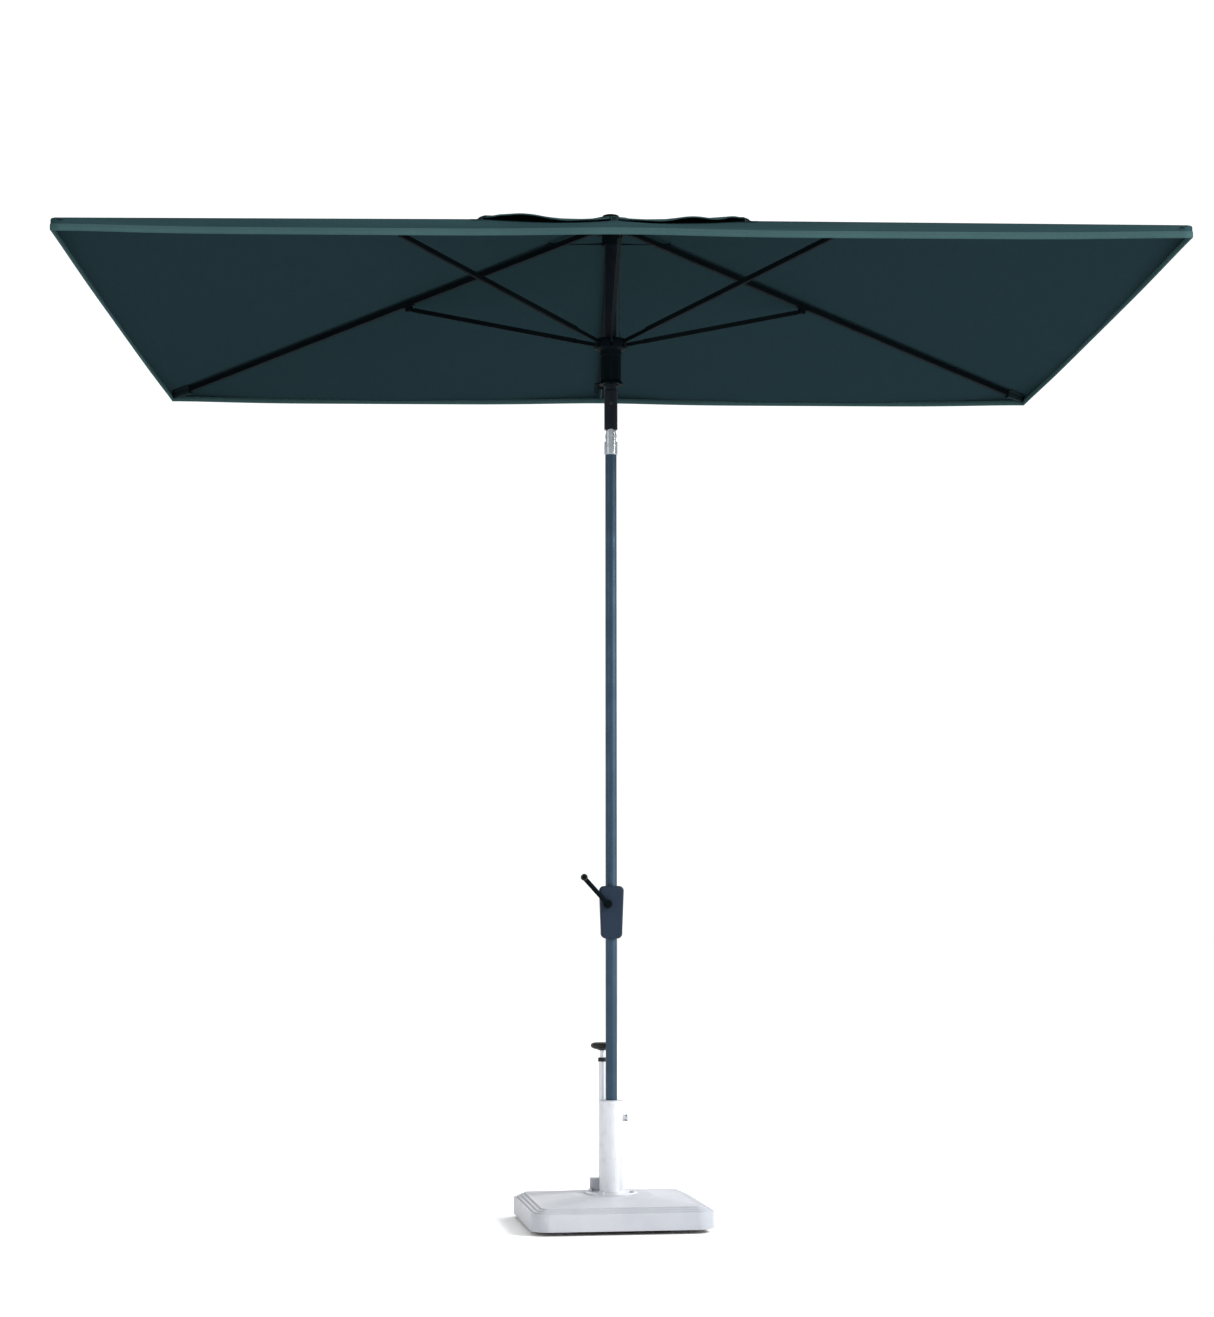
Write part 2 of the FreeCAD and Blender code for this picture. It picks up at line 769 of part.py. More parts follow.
def housing_form(inset, front, rear):
    """The crank case's block, wide at the top, with its walls moved in by inset."""
    top = f"housing_top - {inset}"
    low = f"housing_bottom + {inset}"
    wide = f"housing_half_top - {inset}"
    narrow = f"housing_half_bottom - {inset}"
    points = [(f"-({narrow})", low), (narrow, low), (wide, top), (f"-({wide})", top)]
    body = prism("XZ_Plane", points, f"{front} + {rear}")
    body.Placement = at(0, rear, 0)
    return body


def lies_along_y(edge):
    return abs(edge.tangentAt(edge.FirstParameter).y) > 0.99


def on_front_or_rear(edge):
    centre = edge.CenterOfMass
    flat = edge.BoundBox.YLength < 0.01
    ends = (-value("housing_front"), value("housing_rear"))
    return flat and any(abs(centre.y - end) < 0.01 for end in ends)


case_round = round_edges(housing_form(0, "housing_front", "housing_rear"), 12, lies_along_y)
case_outer = round_edges(case_round, 5, on_front_or_rear)
inner_front = "(housing_front - housing_wall)"
inner_rear = "(housing_rear - housing_wall)"
case_inner = housing_form("housing_wall", inner_front, inner_rear)
inner_rounded = round_edges(case_inner, 9, lies_along_y)
socket_low = "lower_pole_top - housing_bottom - 1"
socket_high = "housing_top - middle_pole_bottom - 1"
pole_socket_low = cylinder("case_socket_radius", socket_low, at(0, 0, "housing_bottom + 1"))
pole_socket_high = cylinder("case_socket_radius", socket_high, at(0, 0, "middle_pole_bottom"))
BOSSES = [
    (f"{side} * boss_{row}_x", f"housing_{row} {inward} 17")
    for row, inward in (("bottom", "+"), ("top", "-"))
    for side in SIDES
]
boss_length = "housing_front + housing_rear - 8"
bosses = [cylinder("boss_radius", boss_length, at(x, "4 - housing_front", z, ALONG_Y)) for x, z in BOSSES]
bearing_x = "-drum_pitch"
front_bearing = cylinder("bearing_radius", 8, at(bearing_x, "-housing_front + 1", "crank_height", ALONG_Y))
rear_bearing = cylinder("bearing_radius", 8, at(bearing_x, "housing_rear - 9", "crank_height", ALONG_Y))
case_solid = fuse(
    cut(case_outer, inner_rounded), pole_socket_low, pole_socket_high, front_bearing, rear_bearing, *bosses
)


def case_screw(x, z, gap=0):
    place = at(x, "screw_start", z, ALONG_Y)
    return cylinder(f"screw_radius + {gap}", "housing_rear - screw_start", place)


screw_holes = [case_screw(x, z, "seat_gap") for x, z in BOSSES]
pole_room_low = cylinder(socket, "lower_pole_top - housing_bottom + 9", at(0, 0, "housing_bottom - 9"))
pole_room_high = cylinder(socket, "housing_top - middle_pole_bottom + 9", at(0, 0, "middle_pole_bottom"))
bush_room = cylinder("bush_radius + seat_gap", 200, at(bearing_x, -44, "crank_height", ALONG_Y))
drum_room = cylinder("drum_flange + 1", 28, at(bearing_x, -14, "crank_height", ALONG_Y))
case_hollow = cut(case_solid, pole_room_low, pole_room_high, bush_room, drum_room, *screw_holes)
half_front = box(200, 100, 400, at(0, -50, "housing_bottom - 100"))
half_rear = box(200, 100, 400, at(0, 50, "housing_bottom - 100"))
node("crank_case_front", common(case_hollow, half_front))
node("crank_case_rear", common(case_hollow, half_rear))


def headed_screw(x, z):
    head_place = at(x, "housing_rear", z, ALONG_Y)
    return fuse(case_screw(x, z), cylinder("screw_head_radius", "screw_head_height", head_place))


node("case_screws", group(*[headed_screw(x, z) for x, z in BOSSES]))
shaft_bore = "shaft_radius + running_gap"
front_axis = at(bearing_x, 0, "crank_height", ALONG_MINUS_Y)
rear_axis = at(bearing_x, 0, "crank_height", ALONG_Y)
front_bush = ring(shaft_bore, "bush_radius", "housing_front - 8", "housing_front", front_axis)
rear_bush = ring(shaft_bore, "bush_radius", "housing_rear - 9", "housing_rear - 1", rear_axis)
node("crank_bushes", group(front_bush, rear_bush))
drum_outline = [
    (0, "-housing_rear + 2"),
    ("shaft_radius", "-housing_rear + 2"),
    ("shaft_radius", "-drum_half_width - 2"),
    ("drum_flange", "-drum_half_width - 2"),
    ("drum_flange", "-drum_half_width"),
    ("drum_pitch - line_radius", "-drum_half_width"),
    ("drum_pitch - line_radius", "drum_half_width"),
    ("drum_flange", "drum_half_width"),
    ("drum_flange", "drum_half_width + 2"),
    ("shaft_radius", "drum_half_width + 2"),
    ("shaft_radius", "housing_front + 16"),
    (0, "housing_front + 16"),
]
node("crank_drum", turned(drum_outline, front_axis))

# the arm is built along X from the shaft, then raised to its resting angle
arm_hub = cylinder(11, 11, at(0, "-housing_front - 3", 0, ALONG_MINUS_Y))
arm_bar = cylinder(6, "crank_length", at(0, "-housing_front - 8.5", 0, ALONG_X))
arm_end = cylinder(8, 11, at("crank_length", "-housing_front - 3", 0, ALONG_MINUS_Y))
grip_pin = cylinder(3, "grip_length + 16", at("crank_length", "-housing_front - 8", 0, ALONG_MINUS_Y))
pin_head = cylinder(5, 2, at("crank_length", "-housing_front - 16 - grip_length", 0, ALONG_MINUS_Y))
shaft_hole = cylinder("shaft_radius + seat_gap", 60, at(0, "-housing_front + 8", 0, ALONG_MINUS_Y))
arm_turn = Rotation(Vector(0, 1, 0), value("crank_rise") - 180)
crank_place = at(bearing_x, 0, "crank_height", arm_turn)
node("crank_arm", cut(fuse(arm_hub, arm_bar, arm_end, grip_pin, pin_head), shaft_hole), crank_place)
grip_hole = "3 + running_gap"
knob_outline = [
    (grip_hole, 0),
    (7, 0),
    (8, 2),
    (7.4, "grip_length * 0.25"),
    (8.6, "grip_length * 0.65"),
    (8.2, "grip_length - 4"),
    (6, "grip_length"),
    (grip_hole, "grip_length"),
]
grip_place = at("crank_length", "-housing_front - 15", 0, ALONG_MINUS_Y)
node("crank_grip", turned(knob_outline, grip_place), crank_place)


# ---- top hub, pulley and finial ------------------------------------------------------------------


hub_body = turned(
    [
        (0, "upper_pole_top"),
        (socket, "upper_pole_top"),
        (socket, "hub_neck_bottom"),
        ("hub_neck_radius - 1", "hub_neck_bottom"),
        ("hub_neck_radius", "hub_neck_bottom + 1"),
        ("hub_neck_radius", "hub_bottom"),
        ("hub_radius", "hub_bottom"),
        ("hub_radius", "hub_top - 4"),
        ("hub_radius - 4", "hub_top"),
        (0, "hub_top"),
    ]
)


def slots(inner, bottom, height):
    """Radial slots for the tongues of the ribs or stays."""
    cuts = []
    middle = value(bottom) + value(height) / 2
    for kind, azimuth in RIBS.values():
        cuts.append(bar(60, "slot_width", height, around(azimuth, value(inner), middle)))
    return cuts


def pins(radius, out, height, length):
    made = []
    for kind, azimuth in RIBS.values():
        along = around(azimuth, value(out), value(height))
        along = along.multiply(at(0, f"-({length}) / 2", 0, ALONG_Y))
        made.append(cylinder(radius, length, along))
    return made


hub_slots = slots("hub_core", "hub_bottom - 1", "hub_top - hub_bottom + 2")
hub_pin_holes = pins("pin_radius + seat_gap", "hub_pivot_radius", "hub_pivot_height", 16)
slot_side = "2 * pulley_rim + 3.5"
slot_place = at("pulley_pitch", 0, f"pulley_height - ({slot_side}) / 2")
pulley_slot = box(slot_side, "pulley_slot", slot_side, slot_place)
groove_place = at("2 * pulley_pitch + 1", 0, "hub_neck_bottom - 2")
line_groove = box(6, "pulley_slot", "pulley_height - hub_neck_bottom + 2", groove_place)
pulley_pin_hole = cross_pin("pin_radius + seat_gap", "pulley_pin_length", "pulley_pitch", "pulley_height")
hub_line_hole = cylinder("line_hole_radius", 12, at(0, 0, "upper_pole_top - 5"))
stud_hole = cylinder("stud_radius + seat_gap", 20, at(0, 0, "hub_top - 7"))
hub_round_holes = [pulley_pin_hole, hub_line_hole, stud_hole]
node("top_hub", cut(hub_body, *hub_slots, *hub_pin_holes, pulley_slot, line_groove, *hub_round_holes))
node("hub_pins", group(*pins("pin_radius", "hub_pivot_radius", "hub_pivot_height", 16)))
node("pulley_pin", cross_pin("pin_radius", "pulley_pin_length", "pulley_pitch", "pulley_height"))
pulley_bore = "pin_radius + running_gap"
pulley_root = "pulley_pitch - line_radius"
pulley_outline = [
    (pulley_bore, -3),
    ("pulley_rim", -3),
    ("pulley_rim", -1.6),
    (pulley_root, -1.6),
    (pulley_root, 1.6),
    ("pulley_rim", 1.6),
    ("pulley_rim", 3),
    (pulley_bore, 3),
]
node("pulley", turned(pulley_outline, at("pulley_pitch", 0, "pulley_height", ALONG_Y)))
finial_outline = [
    (0, "hub_top - 6"),
    ("stud_radius", "hub_top - 6"),
    ("stud_radius", "hub_top + 2"),
    (18, "hub_top + 4"),
    (20, "hub_top + 7"),
    (18.5, "hub_top + 13"),
    (13, "hub_top + 17.5"),
    (6, "hub_top + 20"),
    (0, "hub_top + 20.5"),
]
node("finial", turned(finial_outline))


# ---- runner --------------------------------------------------------------------------------------


runner_body = turned(
    [
        ("runner_bore", "runner_bottom"),
        ("runner_radius + 4", "runner_bottom"),
        ("runner_radius + 5", "runner_bottom + 1.5"),
        ("runner_radius + 4", "runner_bottom + 6"),
        ("runner_radius", "runner_bottom + 9"),
        ("runner_radius", "runner_top - 44"),
        ("runner_radius + 1.5", "runner_top - 42"),
        ("runner_radius + 1.5", "runner_top - 30"),
        ("runner_crown", "runner_top - 24"),
        ("runner_crown", "runner_top - 2"),
        ("runner_crown - 2", "runner_top"),
        ("runner_bore", "runner_top"),
    ]
)
crown_slots = slots("runner_slot_root", "runner_top - 22", 40)
foot_slots = slots("runner_slot_root", "runner_bottom - 1", 12)
runner_pin_holes = pins("pin_radius + seat_gap", "runner_pivot_radius", "runner_pivot_height", 16)
line_anchor = cylinder("line_radius + seat_gap", 60, at("2 * pulley_pitch", 0, "runner_top - 16"))
node("runner", cut(runner_body, *crown_slots, *foot_slots, *runner_pin_holes, line_anchor))
node("runner_pins", group(*pins("pin_radius", "runner_pivot_radius", "runner_pivot_height", 16)))
fall_length = "upper_pole_top - runner_top + 16"
node("lift_line_fall", cylinder("line_radius", fall_length, at("2 * pulley_pitch", 0, "runner_top - 16")))


# ---- ribs and stays ------------------------------------------------------------------------------


hollow_width = "rib_width - 2 * rib_wall"
hollow_height = "rib_height - 2 * rib_wall"


def rib_solids(kind):
    """A hollow rib with its tongue, tip, stay bracket and pin. Origin at the hub pivot, X out."""
    length = f"{kind}_rib_length"
    attach = f"{kind}_attach"
    tube = bar(f"{length} - rib_tongue - rib_tip", "rib_width", "rib_height", at("rib_tongue"))
    tongue = bar("rib_tongue + 1", "tongue_thick", "tongue_height")
    end_round = cross_pin("tongue_height / 2", "tongue_thick", 0, 0)
    hollow = bar(f"{length} - rib_tongue - rib_tip", hollow_width, hollow_height, at("rib_tongue + 10"))
    eye = cross_pin("pin_radius + running_gap", 20, 0, 0)
    rib = cut(fuse(tube, tongue, end_round), hollow, eye)
    tip_block = bar("rib_tip", "rib_width", "rib_height", at(f"{length} - rib_tip"))
    plug = bar("rib_plug", hollow_width, hollow_height, at(f"{length} - rib_tip - rib_plug"))
    tip_rounded = round_edges(tip_block, 2.5, lambda edge: edge.CenterOfMass.x > value(length) - 0.1)
    tip = fuse(tip_rounded, plug)
    plate = box(36, "rib_width", 2, at(attach, 0, "-rib_height / 2 - 2"))
    cheek_height = "stay_offset - rib_height / 2 + 5"
    cheeks = [box(20, 2, cheek_height, at(attach, f"{side} * 3.5", "-stay_offset - 5")) for side in SIDES]
    cheek_bore = cross_pin("pin_radius + seat_gap", 20, attach, "-stay_offset")
    bracket = cut(fuse(plate, *cheeks), cheek_bore)
    pin = cross_pin("pin_radius", 11, attach, "-stay_offset")
    return group(rib, tip, bracket, pin)


def stay_solid(kind):
    """A hollow stay with an eye at each end. Origin at its rib pivot, X towards the runner."""
    length = f"{kind}_stay_length"
    middle = f"{length} - stay_tongue_outer - stay_tongue_inner"
    tube = bar(middle, "rib_width", "stay_height", at("stay_tongue_outer"))
    hollow_place = at("stay_tongue_outer + 10")
    hollow = bar(f"{middle} - 20", hollow_width, "stay_height - 2 * rib_wall", hollow_place)
    outer = bar("stay_tongue_outer + 1", "tongue_thick", "tongue_height")
    inner_place = at(f"{length} - stay_tongue_inner - 1")
    inner = bar("stay_tongue_inner + 1", "tongue_thick", "tongue_height", inner_place)
    rounds = [cross_pin("tongue_height / 2", "tongue_thick", x, 0) for x in (0, length)]
    eye = cross_pin("pin_radius + running_gap", 20, 0, 0)
    open_eye = cross_pin("pin_radius + open_pivot_gap", 20, length, 0)
    return cut(fuse(tube, outer, inner, *rounds), hollow, eye, open_eye)


for place, (kind, azimuth) in RIBS.items():
    hub = around(azimuth, value("hub_pivot_radius"), value("hub_pivot_height"), value(f"{kind}_slope"))
    node(f"rib_{place}", rib_solids(kind), hub)
    out, up, angle = (value(f"{kind}_stay_{word}") for word in ("out", "up", "angle"))
    node(f"stay_{place}", stay_solid(kind), around(azimuth, out, up, angle))


# ---- canopy --------------------------------------------------------------------------------------


def roof(length, width, apex, rim, hem, inset):
    """A pyramid standing on a shallow block; inset makes the hollow under the fabric."""
    long_side = f"({length} - 2 * {inset})"
    short_side = f"({width} - 2 * {inset})"
    pyramid = doc.addObject("Part::Wedge", "Pyramid")
    bind(pyramid, Xmin=f"-{long_side} / 2", Xmax=f"{long_side} / 2", Ymin=0, Ymax=f"{apex} - {rim}")
    bind(pyramid, Zmin=f"-{short_side} / 2", Zmax=f"{short_side} / 2")
    for side in ("X2min", "X2max", "Z2min", "Z2max"):
        setattr(pyramid, side, 0)
    lift = f"{rim} - {inset}"
    pyramid.Placement = at(0, 0, lift, ALONG_MINUS_Y)
    block = box(long_side, short_side, f"{rim} - {hem} + 10 * {inset}", at(0, 0, f"{hem} - 11 * {inset}"))
    return fuse(pyramid, block)


def sector(place, kind):
    """The plan of one rib's share of the canopy, from the centre out to the middles of the hem."""
    along = 1 if "right" in place else -1
    across = 1 if "rear" in place else -1
    far_x = f"{along} * 0.6 * canopy_length"
    far_y = f"{across} * 0.6 * canopy_width"
    if kind == "mid":
        points = [(0, 0), ("0.3 * canopy_length", far_y), ("-0.3 * canopy_length", far_y)]
    else:
        points = [(0, 0), (far_x, 0), (far_x, far_y), (f"0.5 * {far_x}", far_y)]
    return prism("XY_Plane", points, 3000)


main_size = ("canopy_length", "canopy_width", "roof_apex", "roof_rim", "hem_bottom")
vent_size = ("vent_length", "vent_width", "vent_apex", "vent_rim", "vent_hem")
seam_turn = math.degrees(math.atan2(value("canopy_width"), value("canopy_length") / 2))


def seams():
    """Thin gaps where the shares of the canopy meet, and where its panels are sewn over the corner ribs."""
    made = []
    for azimuth in (0, seam_turn, -seam_turn, corner_azimuth, -corner_azimuth):
        place = around(azimuth, 0, value("vent_apex - canopy_width / 2"))
        made.append(box("2 * canopy_length", "panel_gap", "canopy_width", place))
    return made


opening = box("opening_length", "opening_width", 3000)
eye_opening = box("vent_eye", "vent_eye", 3000)
main_cover = cut(roof(*main_size, 0), roof(*main_size, "fabric"), opening, *seams())
vent_cover = cut(roof(*vent_size, 0), roof(*vent_size, "fabric"), eye_opening, *seams())
for place, (kind, azimuth) in RIBS.items():
    main_share = common(main_cover, sector(place, kind))
    vent_share = common(vent_cover, sector(place, kind))
    node(f"canopy_{place}", group(main_share, vent_share))

doc.recompute()


# ---- checks and files ----------------------------------------------------------------------------


broken = [o.Name for o in doc.Objects if {"Invalid", "Error"} & set(o.State)]
if broken:
    raise RuntimeError(f"objects that failed: {broken}")
for name, obj in parts.items():
    shape = obj.Shape
    if shape.isNull() or not shape.isValid() or not shape.Solids:
        raise RuntimeError(f"{name} has no valid solid")

os.makedirs("parts", exist_ok=True)
for name, obj in parts.items():
    obj.Shape.exportStep(f"parts/{name}.step")
    print(f"{name}: {len(obj.Shape.Solids)} solids, {obj.Shape.Volume / 1000:.1f} cm3")
print(len(parts), "nodes")
for kind in ("corner", "mid"):
    print(kind, {key: round(size, 3) for key, size in DERIVED.items() if key.startswith(kind)})
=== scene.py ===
import math

import bpy
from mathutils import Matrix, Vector, noise


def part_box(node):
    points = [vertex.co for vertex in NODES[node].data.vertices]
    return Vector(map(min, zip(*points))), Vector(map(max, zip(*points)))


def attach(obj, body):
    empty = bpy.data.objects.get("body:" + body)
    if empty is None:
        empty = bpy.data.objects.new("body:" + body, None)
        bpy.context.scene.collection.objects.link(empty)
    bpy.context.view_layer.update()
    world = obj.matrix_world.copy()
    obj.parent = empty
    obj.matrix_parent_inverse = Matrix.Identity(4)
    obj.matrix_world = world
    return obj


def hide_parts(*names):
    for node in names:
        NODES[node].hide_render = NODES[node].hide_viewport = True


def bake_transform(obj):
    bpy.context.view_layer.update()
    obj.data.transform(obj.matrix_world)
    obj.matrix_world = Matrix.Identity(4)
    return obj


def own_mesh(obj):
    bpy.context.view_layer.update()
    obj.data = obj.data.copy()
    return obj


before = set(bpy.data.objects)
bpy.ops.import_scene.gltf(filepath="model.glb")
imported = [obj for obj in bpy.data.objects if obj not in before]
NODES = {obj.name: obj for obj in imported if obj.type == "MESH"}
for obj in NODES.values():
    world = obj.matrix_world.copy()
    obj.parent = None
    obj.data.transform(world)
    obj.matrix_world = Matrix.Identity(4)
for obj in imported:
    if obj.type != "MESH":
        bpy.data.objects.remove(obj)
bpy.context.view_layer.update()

# Crank-lift patio umbrella: a sewn canopy with a vent cap over the metal frame, in a weighted base.
# Lengths are metres. X runs along the canopy's long side, -Y is the crank side, Z is up.

HALF_X, HALF_Y = 1.25, 1.0
APEX = 2.544
RISE = 0.2625
HEM_BOTTOM = 2.254
OPENING = 0.128
EDGE = 0.994
EDGE_DROOP = 0.006
HEM_DIP = 0.005
HEM_HEIGHT = 0.022
PANEL_HANG = 0.018
CREASE = 0.0011
RIB_PULL = 0.0012
CLOTH = 0.0016
YARN_PITCH = 0.0011
STITCH_PITCH = 0.004
VENT_X, VENT_Y = 0.325, 0.27
VENT_EYE = 0.047
VENT_TOP = 2.5378
VENT_RIM = 2.4812
CAP_HANG = 0.003
CAP_EDGE_DROP = 0.0068
CAP_FLUTTER = 0.0012
TAPE = 0.016
SHARES = {
    "right_rear": (1, 1),
    "mid_rear": (0, 1),
    "left_rear": (-1, 1),
    "left_front": (-1, -1),
    "mid_front": (0, -1),
    "right_front": (1, -1),
}


# ---- materials -----------------------------------------------------------------------------------


def linear(red, green, blue):
    """A display colour, 0 to 255, as the linear colour that shaders use."""
    shares = [channel / 255 for channel in (red, green, blue)]
    bent = [c / 12.92 if c <= 0.04045 else ((c + 0.055) / 1.055) ** 2.4 for c in shares]
    return (*bent, 1.0)


class Look:
    """A procedural material under construction."""

    def __init__(self, name, **fixed):
        self.material = bpy.data.materials.new(name)
        self.material.use_nodes = True
        self.tree = self.material.node_tree
        self.shader = self.tree.nodes["Principled BSDF"]
        for socket, number in fixed.items():
            self.shader.inputs[socket.replace("_", " ")].default_value = number
        self.height = None
        self.place = self.add("ShaderNodeTexCoord").outputs["Object"]

    def add(self, kind, **settings):
        made = self.tree.nodes.new(kind)
        for name, setting in settings.items():
            setattr(made, name, setting)
        return made

    def feed(self, socket, source):
        if isinstance(source, (int, float)):
            socket.default_value = source
        else:
            self.tree.links.new(source, socket)

    def math(self, operation, *values):
        made = self.add("ShaderNodeMath", operation=operation)
        for socket, source in zip(made.inputs, values):
            self.feed(socket, source)
        return made.outputs[0]

    def grain(self, scale, detail=3.0, stretch=(1, 1, 1), roughness=0.55):
        """Noise from 0 to 1, stretched along the axes."""
        mapping = self.add("ShaderNodeMapping")
        mapping.inputs["Scale"].default_value = stretch
        self.tree.links.new(self.place, mapping.inputs["Vector"])
        made = self.add("ShaderNodeTexNoise")
        made.inputs["Scale"].default_value = scale
        made.inputs["Detail"].default_value = detail
        made.inputs["Roughness"].default_value = roughness
        self.tree.links.new(mapping.outputs[0], made.inputs["Vector"])
        return made.outputs[0]

    def between(self, source, low, high, first, last):
        made = self.add("ShaderNodeMapRange", clamp=True)
        for socket, number in zip(("From Min", "From Max", "To Min", "To Max"), (low, high, first, last)):
            made.inputs[socket].default_value = number
        self.tree.links.new(source, made.inputs["Value"])
        return made.outputs[0]

    def blend(self, share, first, last):
        """A colour from first to last."""
        made = self.add("ShaderNodeMix", data_type="RGBA")
        self.feed(made.inputs["Factor"], share)
        for socket, colour in ((made.inputs[6], first), (made.inputs[7], last)):
            if isinstance(colour, tuple):
                socket.default_value = colour
            else:
                self.tree.links.new(colour, socket)
        return made.outputs[2]

    def colour(self, source):
        self.tree.links.new(source, self.shader.inputs["Base Color"])

    def roughness(self, source):
        self.tree.links.new(source, self.shader.inputs["Roughness"])

    def raise_by(self, source, distance, strength=1.0):
        """Adds fine relief."""
        made = self.add("ShaderNodeBump")
        made.inputs["Distance"].default_value = distance
        made.inputs["Strength"].default_value = strength
        self.tree.links.new(source, made.inputs["Height"])
        if self.height is not None:
            self.tree.links.new(self.height, made.inputs["Normal"])
        self.height = made.outputs[0]
        self.tree.links.new(self.height, self.shader.inputs["Normal"])


def painted(name, colour, shade, rough=0.38, metal=0.0, shine=0.3):
    """Powder-coated metal: fine orange peel, faint cloudiness and duller rubbed patches."""
    look = Look(name, Metallic=metal, Specular_IOR_Level=shine)
    cloud = look.grain(9, 4)
    fleck = look.grain(1400, 2)
    base = look.blend(look.between(cloud, 0.35, 0.65, 0.0, 1.0), linear(*colour), linear(*shade))
    look.colour(look.blend(look.between(fleck, 0.6, 0.8, 0.0, 0.35), base, linear(*[c + 18 for c in colour])))
    look.roughness(look.between(look.grain(30, 5), 0.3, 0.7, rough - 0.06, rough + 0.1))
    look.raise_by(look.grain(900, 2), 0.0001, 0.5)
    return look.material


def moulded(name, colour, shade, rough=0.5, grain_size=700, shine=0.2):
    """Moulded plastic: a leather-like grain, scuffs and faint cloudiness."""
    look = Look(name, Specular_IOR_Level=shine)
    scuff = look.grain(40, 6, (1, 1, 3))
    cloud = look.grain(6, 3)
    base = look.blend(look.between(cloud, 0.3, 0.7, 0.0, 1.0), linear(*colour), linear(*shade))
    worn = tuple(min(255, c + 10) for c in colour)
    look.colour(look.blend(look.between(scuff, 0.62, 0.78, 0.0, 0.35), base, linear(*worn)))
    look.roughness(look.between(scuff, 0.3, 0.75, rough, rough + 0.14))
    look.raise_by(look.grain(grain_size, 3), 0.00018, 0.6)
    return look.material


def brushed(name, colour, rough=0.28, metal=1.0):
    """Bare or plated metal with fine lines and dull spots."""
    look = Look(name, Metallic=metal)
    lines = look.grain(900, 3, (1, 1, 0.04))
    spots = look.grain(60, 5)
    darker = tuple(int(c * 0.82) for c in colour)
    base = look.blend(look.between(lines, 0.3, 0.7, 0.0, 0.45), linear(*colour), linear(*darker))
    stain = look.between(spots, 0.6, 0.75, 0.0, 0.12)
    look.colour(look.blend(stain, base, linear(*[int(c * 0.6) for c in colour])))
    look.roughness(look.between(spots, 0.3, 0.7, rough - 0.05, rough + 0.14))
    look.raise_by(lines, 0.00005, 0.5)
    return look.material


def woven(name, colour, shade, painted_underside_shade=None, stitch_rows=(), thread=(50, 66, 70)):
    """Dyed polyester: over-and-under threads along the panel, faint shade changes and sewing threads. The
    raised yarn crossings carry a painted highlight, and a given underside colour is painted shade on the back
    face.
    """
    look = Look(name, Specular_IOR_Level=0.0)
    flat = look.add("ShaderNodeUVMap").outputs[0]
    parts = look.add("ShaderNodeSeparateXYZ")
    look.tree.links.new(flat, parts.inputs[0])
    across, down = parts.outputs[0], parts.outputs[1]
    yarn = 2 * math.pi / YARN_PITCH
    warp = look.math("SINE", look.math("MULTIPLY", across, yarn))
    weft = look.math("SINE", look.math("MULTIPLY", down, yarn))
    weave = look.math("MULTIPLY", warp, weft)
    cloud = look.grain(3.2, 5)
    slub = look.grain(160, 3, (1, 0.06, 1))
    base = look.blend(look.between(cloud, 0.3, 0.7, 0.0, 1.0), linear(*colour), linear(*shade))
    base = look.blend(look.between(slub, 0.5, 0.8, 0.0, 0.2), base, linear(*[c + 10 for c in colour]))
    # The back face is painted darker: painted shade for the canopy's shaded underside.
    if painted_underside_shade:
        inside = look.add("ShaderNodeNewGeometry").outputs["Backfacing"]
        thick = look.between(slub, 0.3, 0.8, 0.0, 0.3)
        underside_with_painted_shade = look.blend(thick, linear(*painted_underside_shade), linear(*[c + 5 for c in painted_underside_shade]))
        base = look.blend(inside, base, underside_with_painted_shade)
    # The raised yarn crossings are painted lighter: a painted highlight that follows the weave's relief.
    painted_yarn_highlight = look.blend(0.3, base, linear(*[c + 20 for c in colour]))
    base = look.blend(look.between(weave, -1.0, 1.0, 0.0, 0.15), base, painted_yarn_highlight)
    look.raise_by(weave, 0.00012, 0.5)
    look.raise_by(look.grain(22, 4), 0.0025, 0.28)
    for row in stitch_rows:
        on_row = look.math("COMPARE", down, row, 0.0006)
        beat = look.math("FRACT", look.math("MULTIPLY", across, 1 / STITCH_PITCH))
        stitch = look.math("MULTIPLY", on_row, look.math("LESS_THAN", beat, 0.7))
        base = look.blend(stitch, base, linear(*thread))
        look.raise_by(stitch, 0.0004, 0.8)
    look.colour(base)
    look.roughness(look.between(cloud, 0.3, 0.7, 0.78, 0.9))
    return look.material


def rubbery(name, colour):
    """Rubber with pale dust in its grain."""
    look = Look(name)
    dust = look.grain(50, 5)
    dusty = tuple(c + 26 for c in colour)
    look.colour(look.blend(look.between(dust, 0.45, 0.75, 0.0, 0.6), linear(*colour), linear(*dusty)))
    look.roughness(look.between(dust, 0.3, 0.7, 0.65, 0.85))
    look.raise_by(look.grain(500, 3), 0.0002, 0.6)
    return look.material


def roped(name, colour, shade):
    """A braided line: its strands cross in a fine diagonal pattern, painted darker in the grooves between
    them as painted shade.
    """
    look = Look(name, Roughness=0.8)
    split = look.add("ShaderNodeSeparateXYZ")
    look.tree.links.new(look.place, split.inputs[0])
    turn = look.math("ARCTAN2", split.outputs[1], split.outputs[0])
    climb = look.math("MULTIPLY", split.outputs[2], 1500)
    strand = look.math("SINE", look.math("ADD", climb, turn))
    wear = look.grain(120, 4)
    # Darker in the grooves between strands: painted shade that follows the strands' relief.
    base = look.blend(look.between(strand, -1, 1, 0, 1), linear(*shade), linear(*colour))
    look.colour(look.blend(look.between(wear, 0.5, 0.8, 0, 0.4), base, linear(*shade)))
    look.raise_by(strand, 0.0002, 0.7)
    return look.material


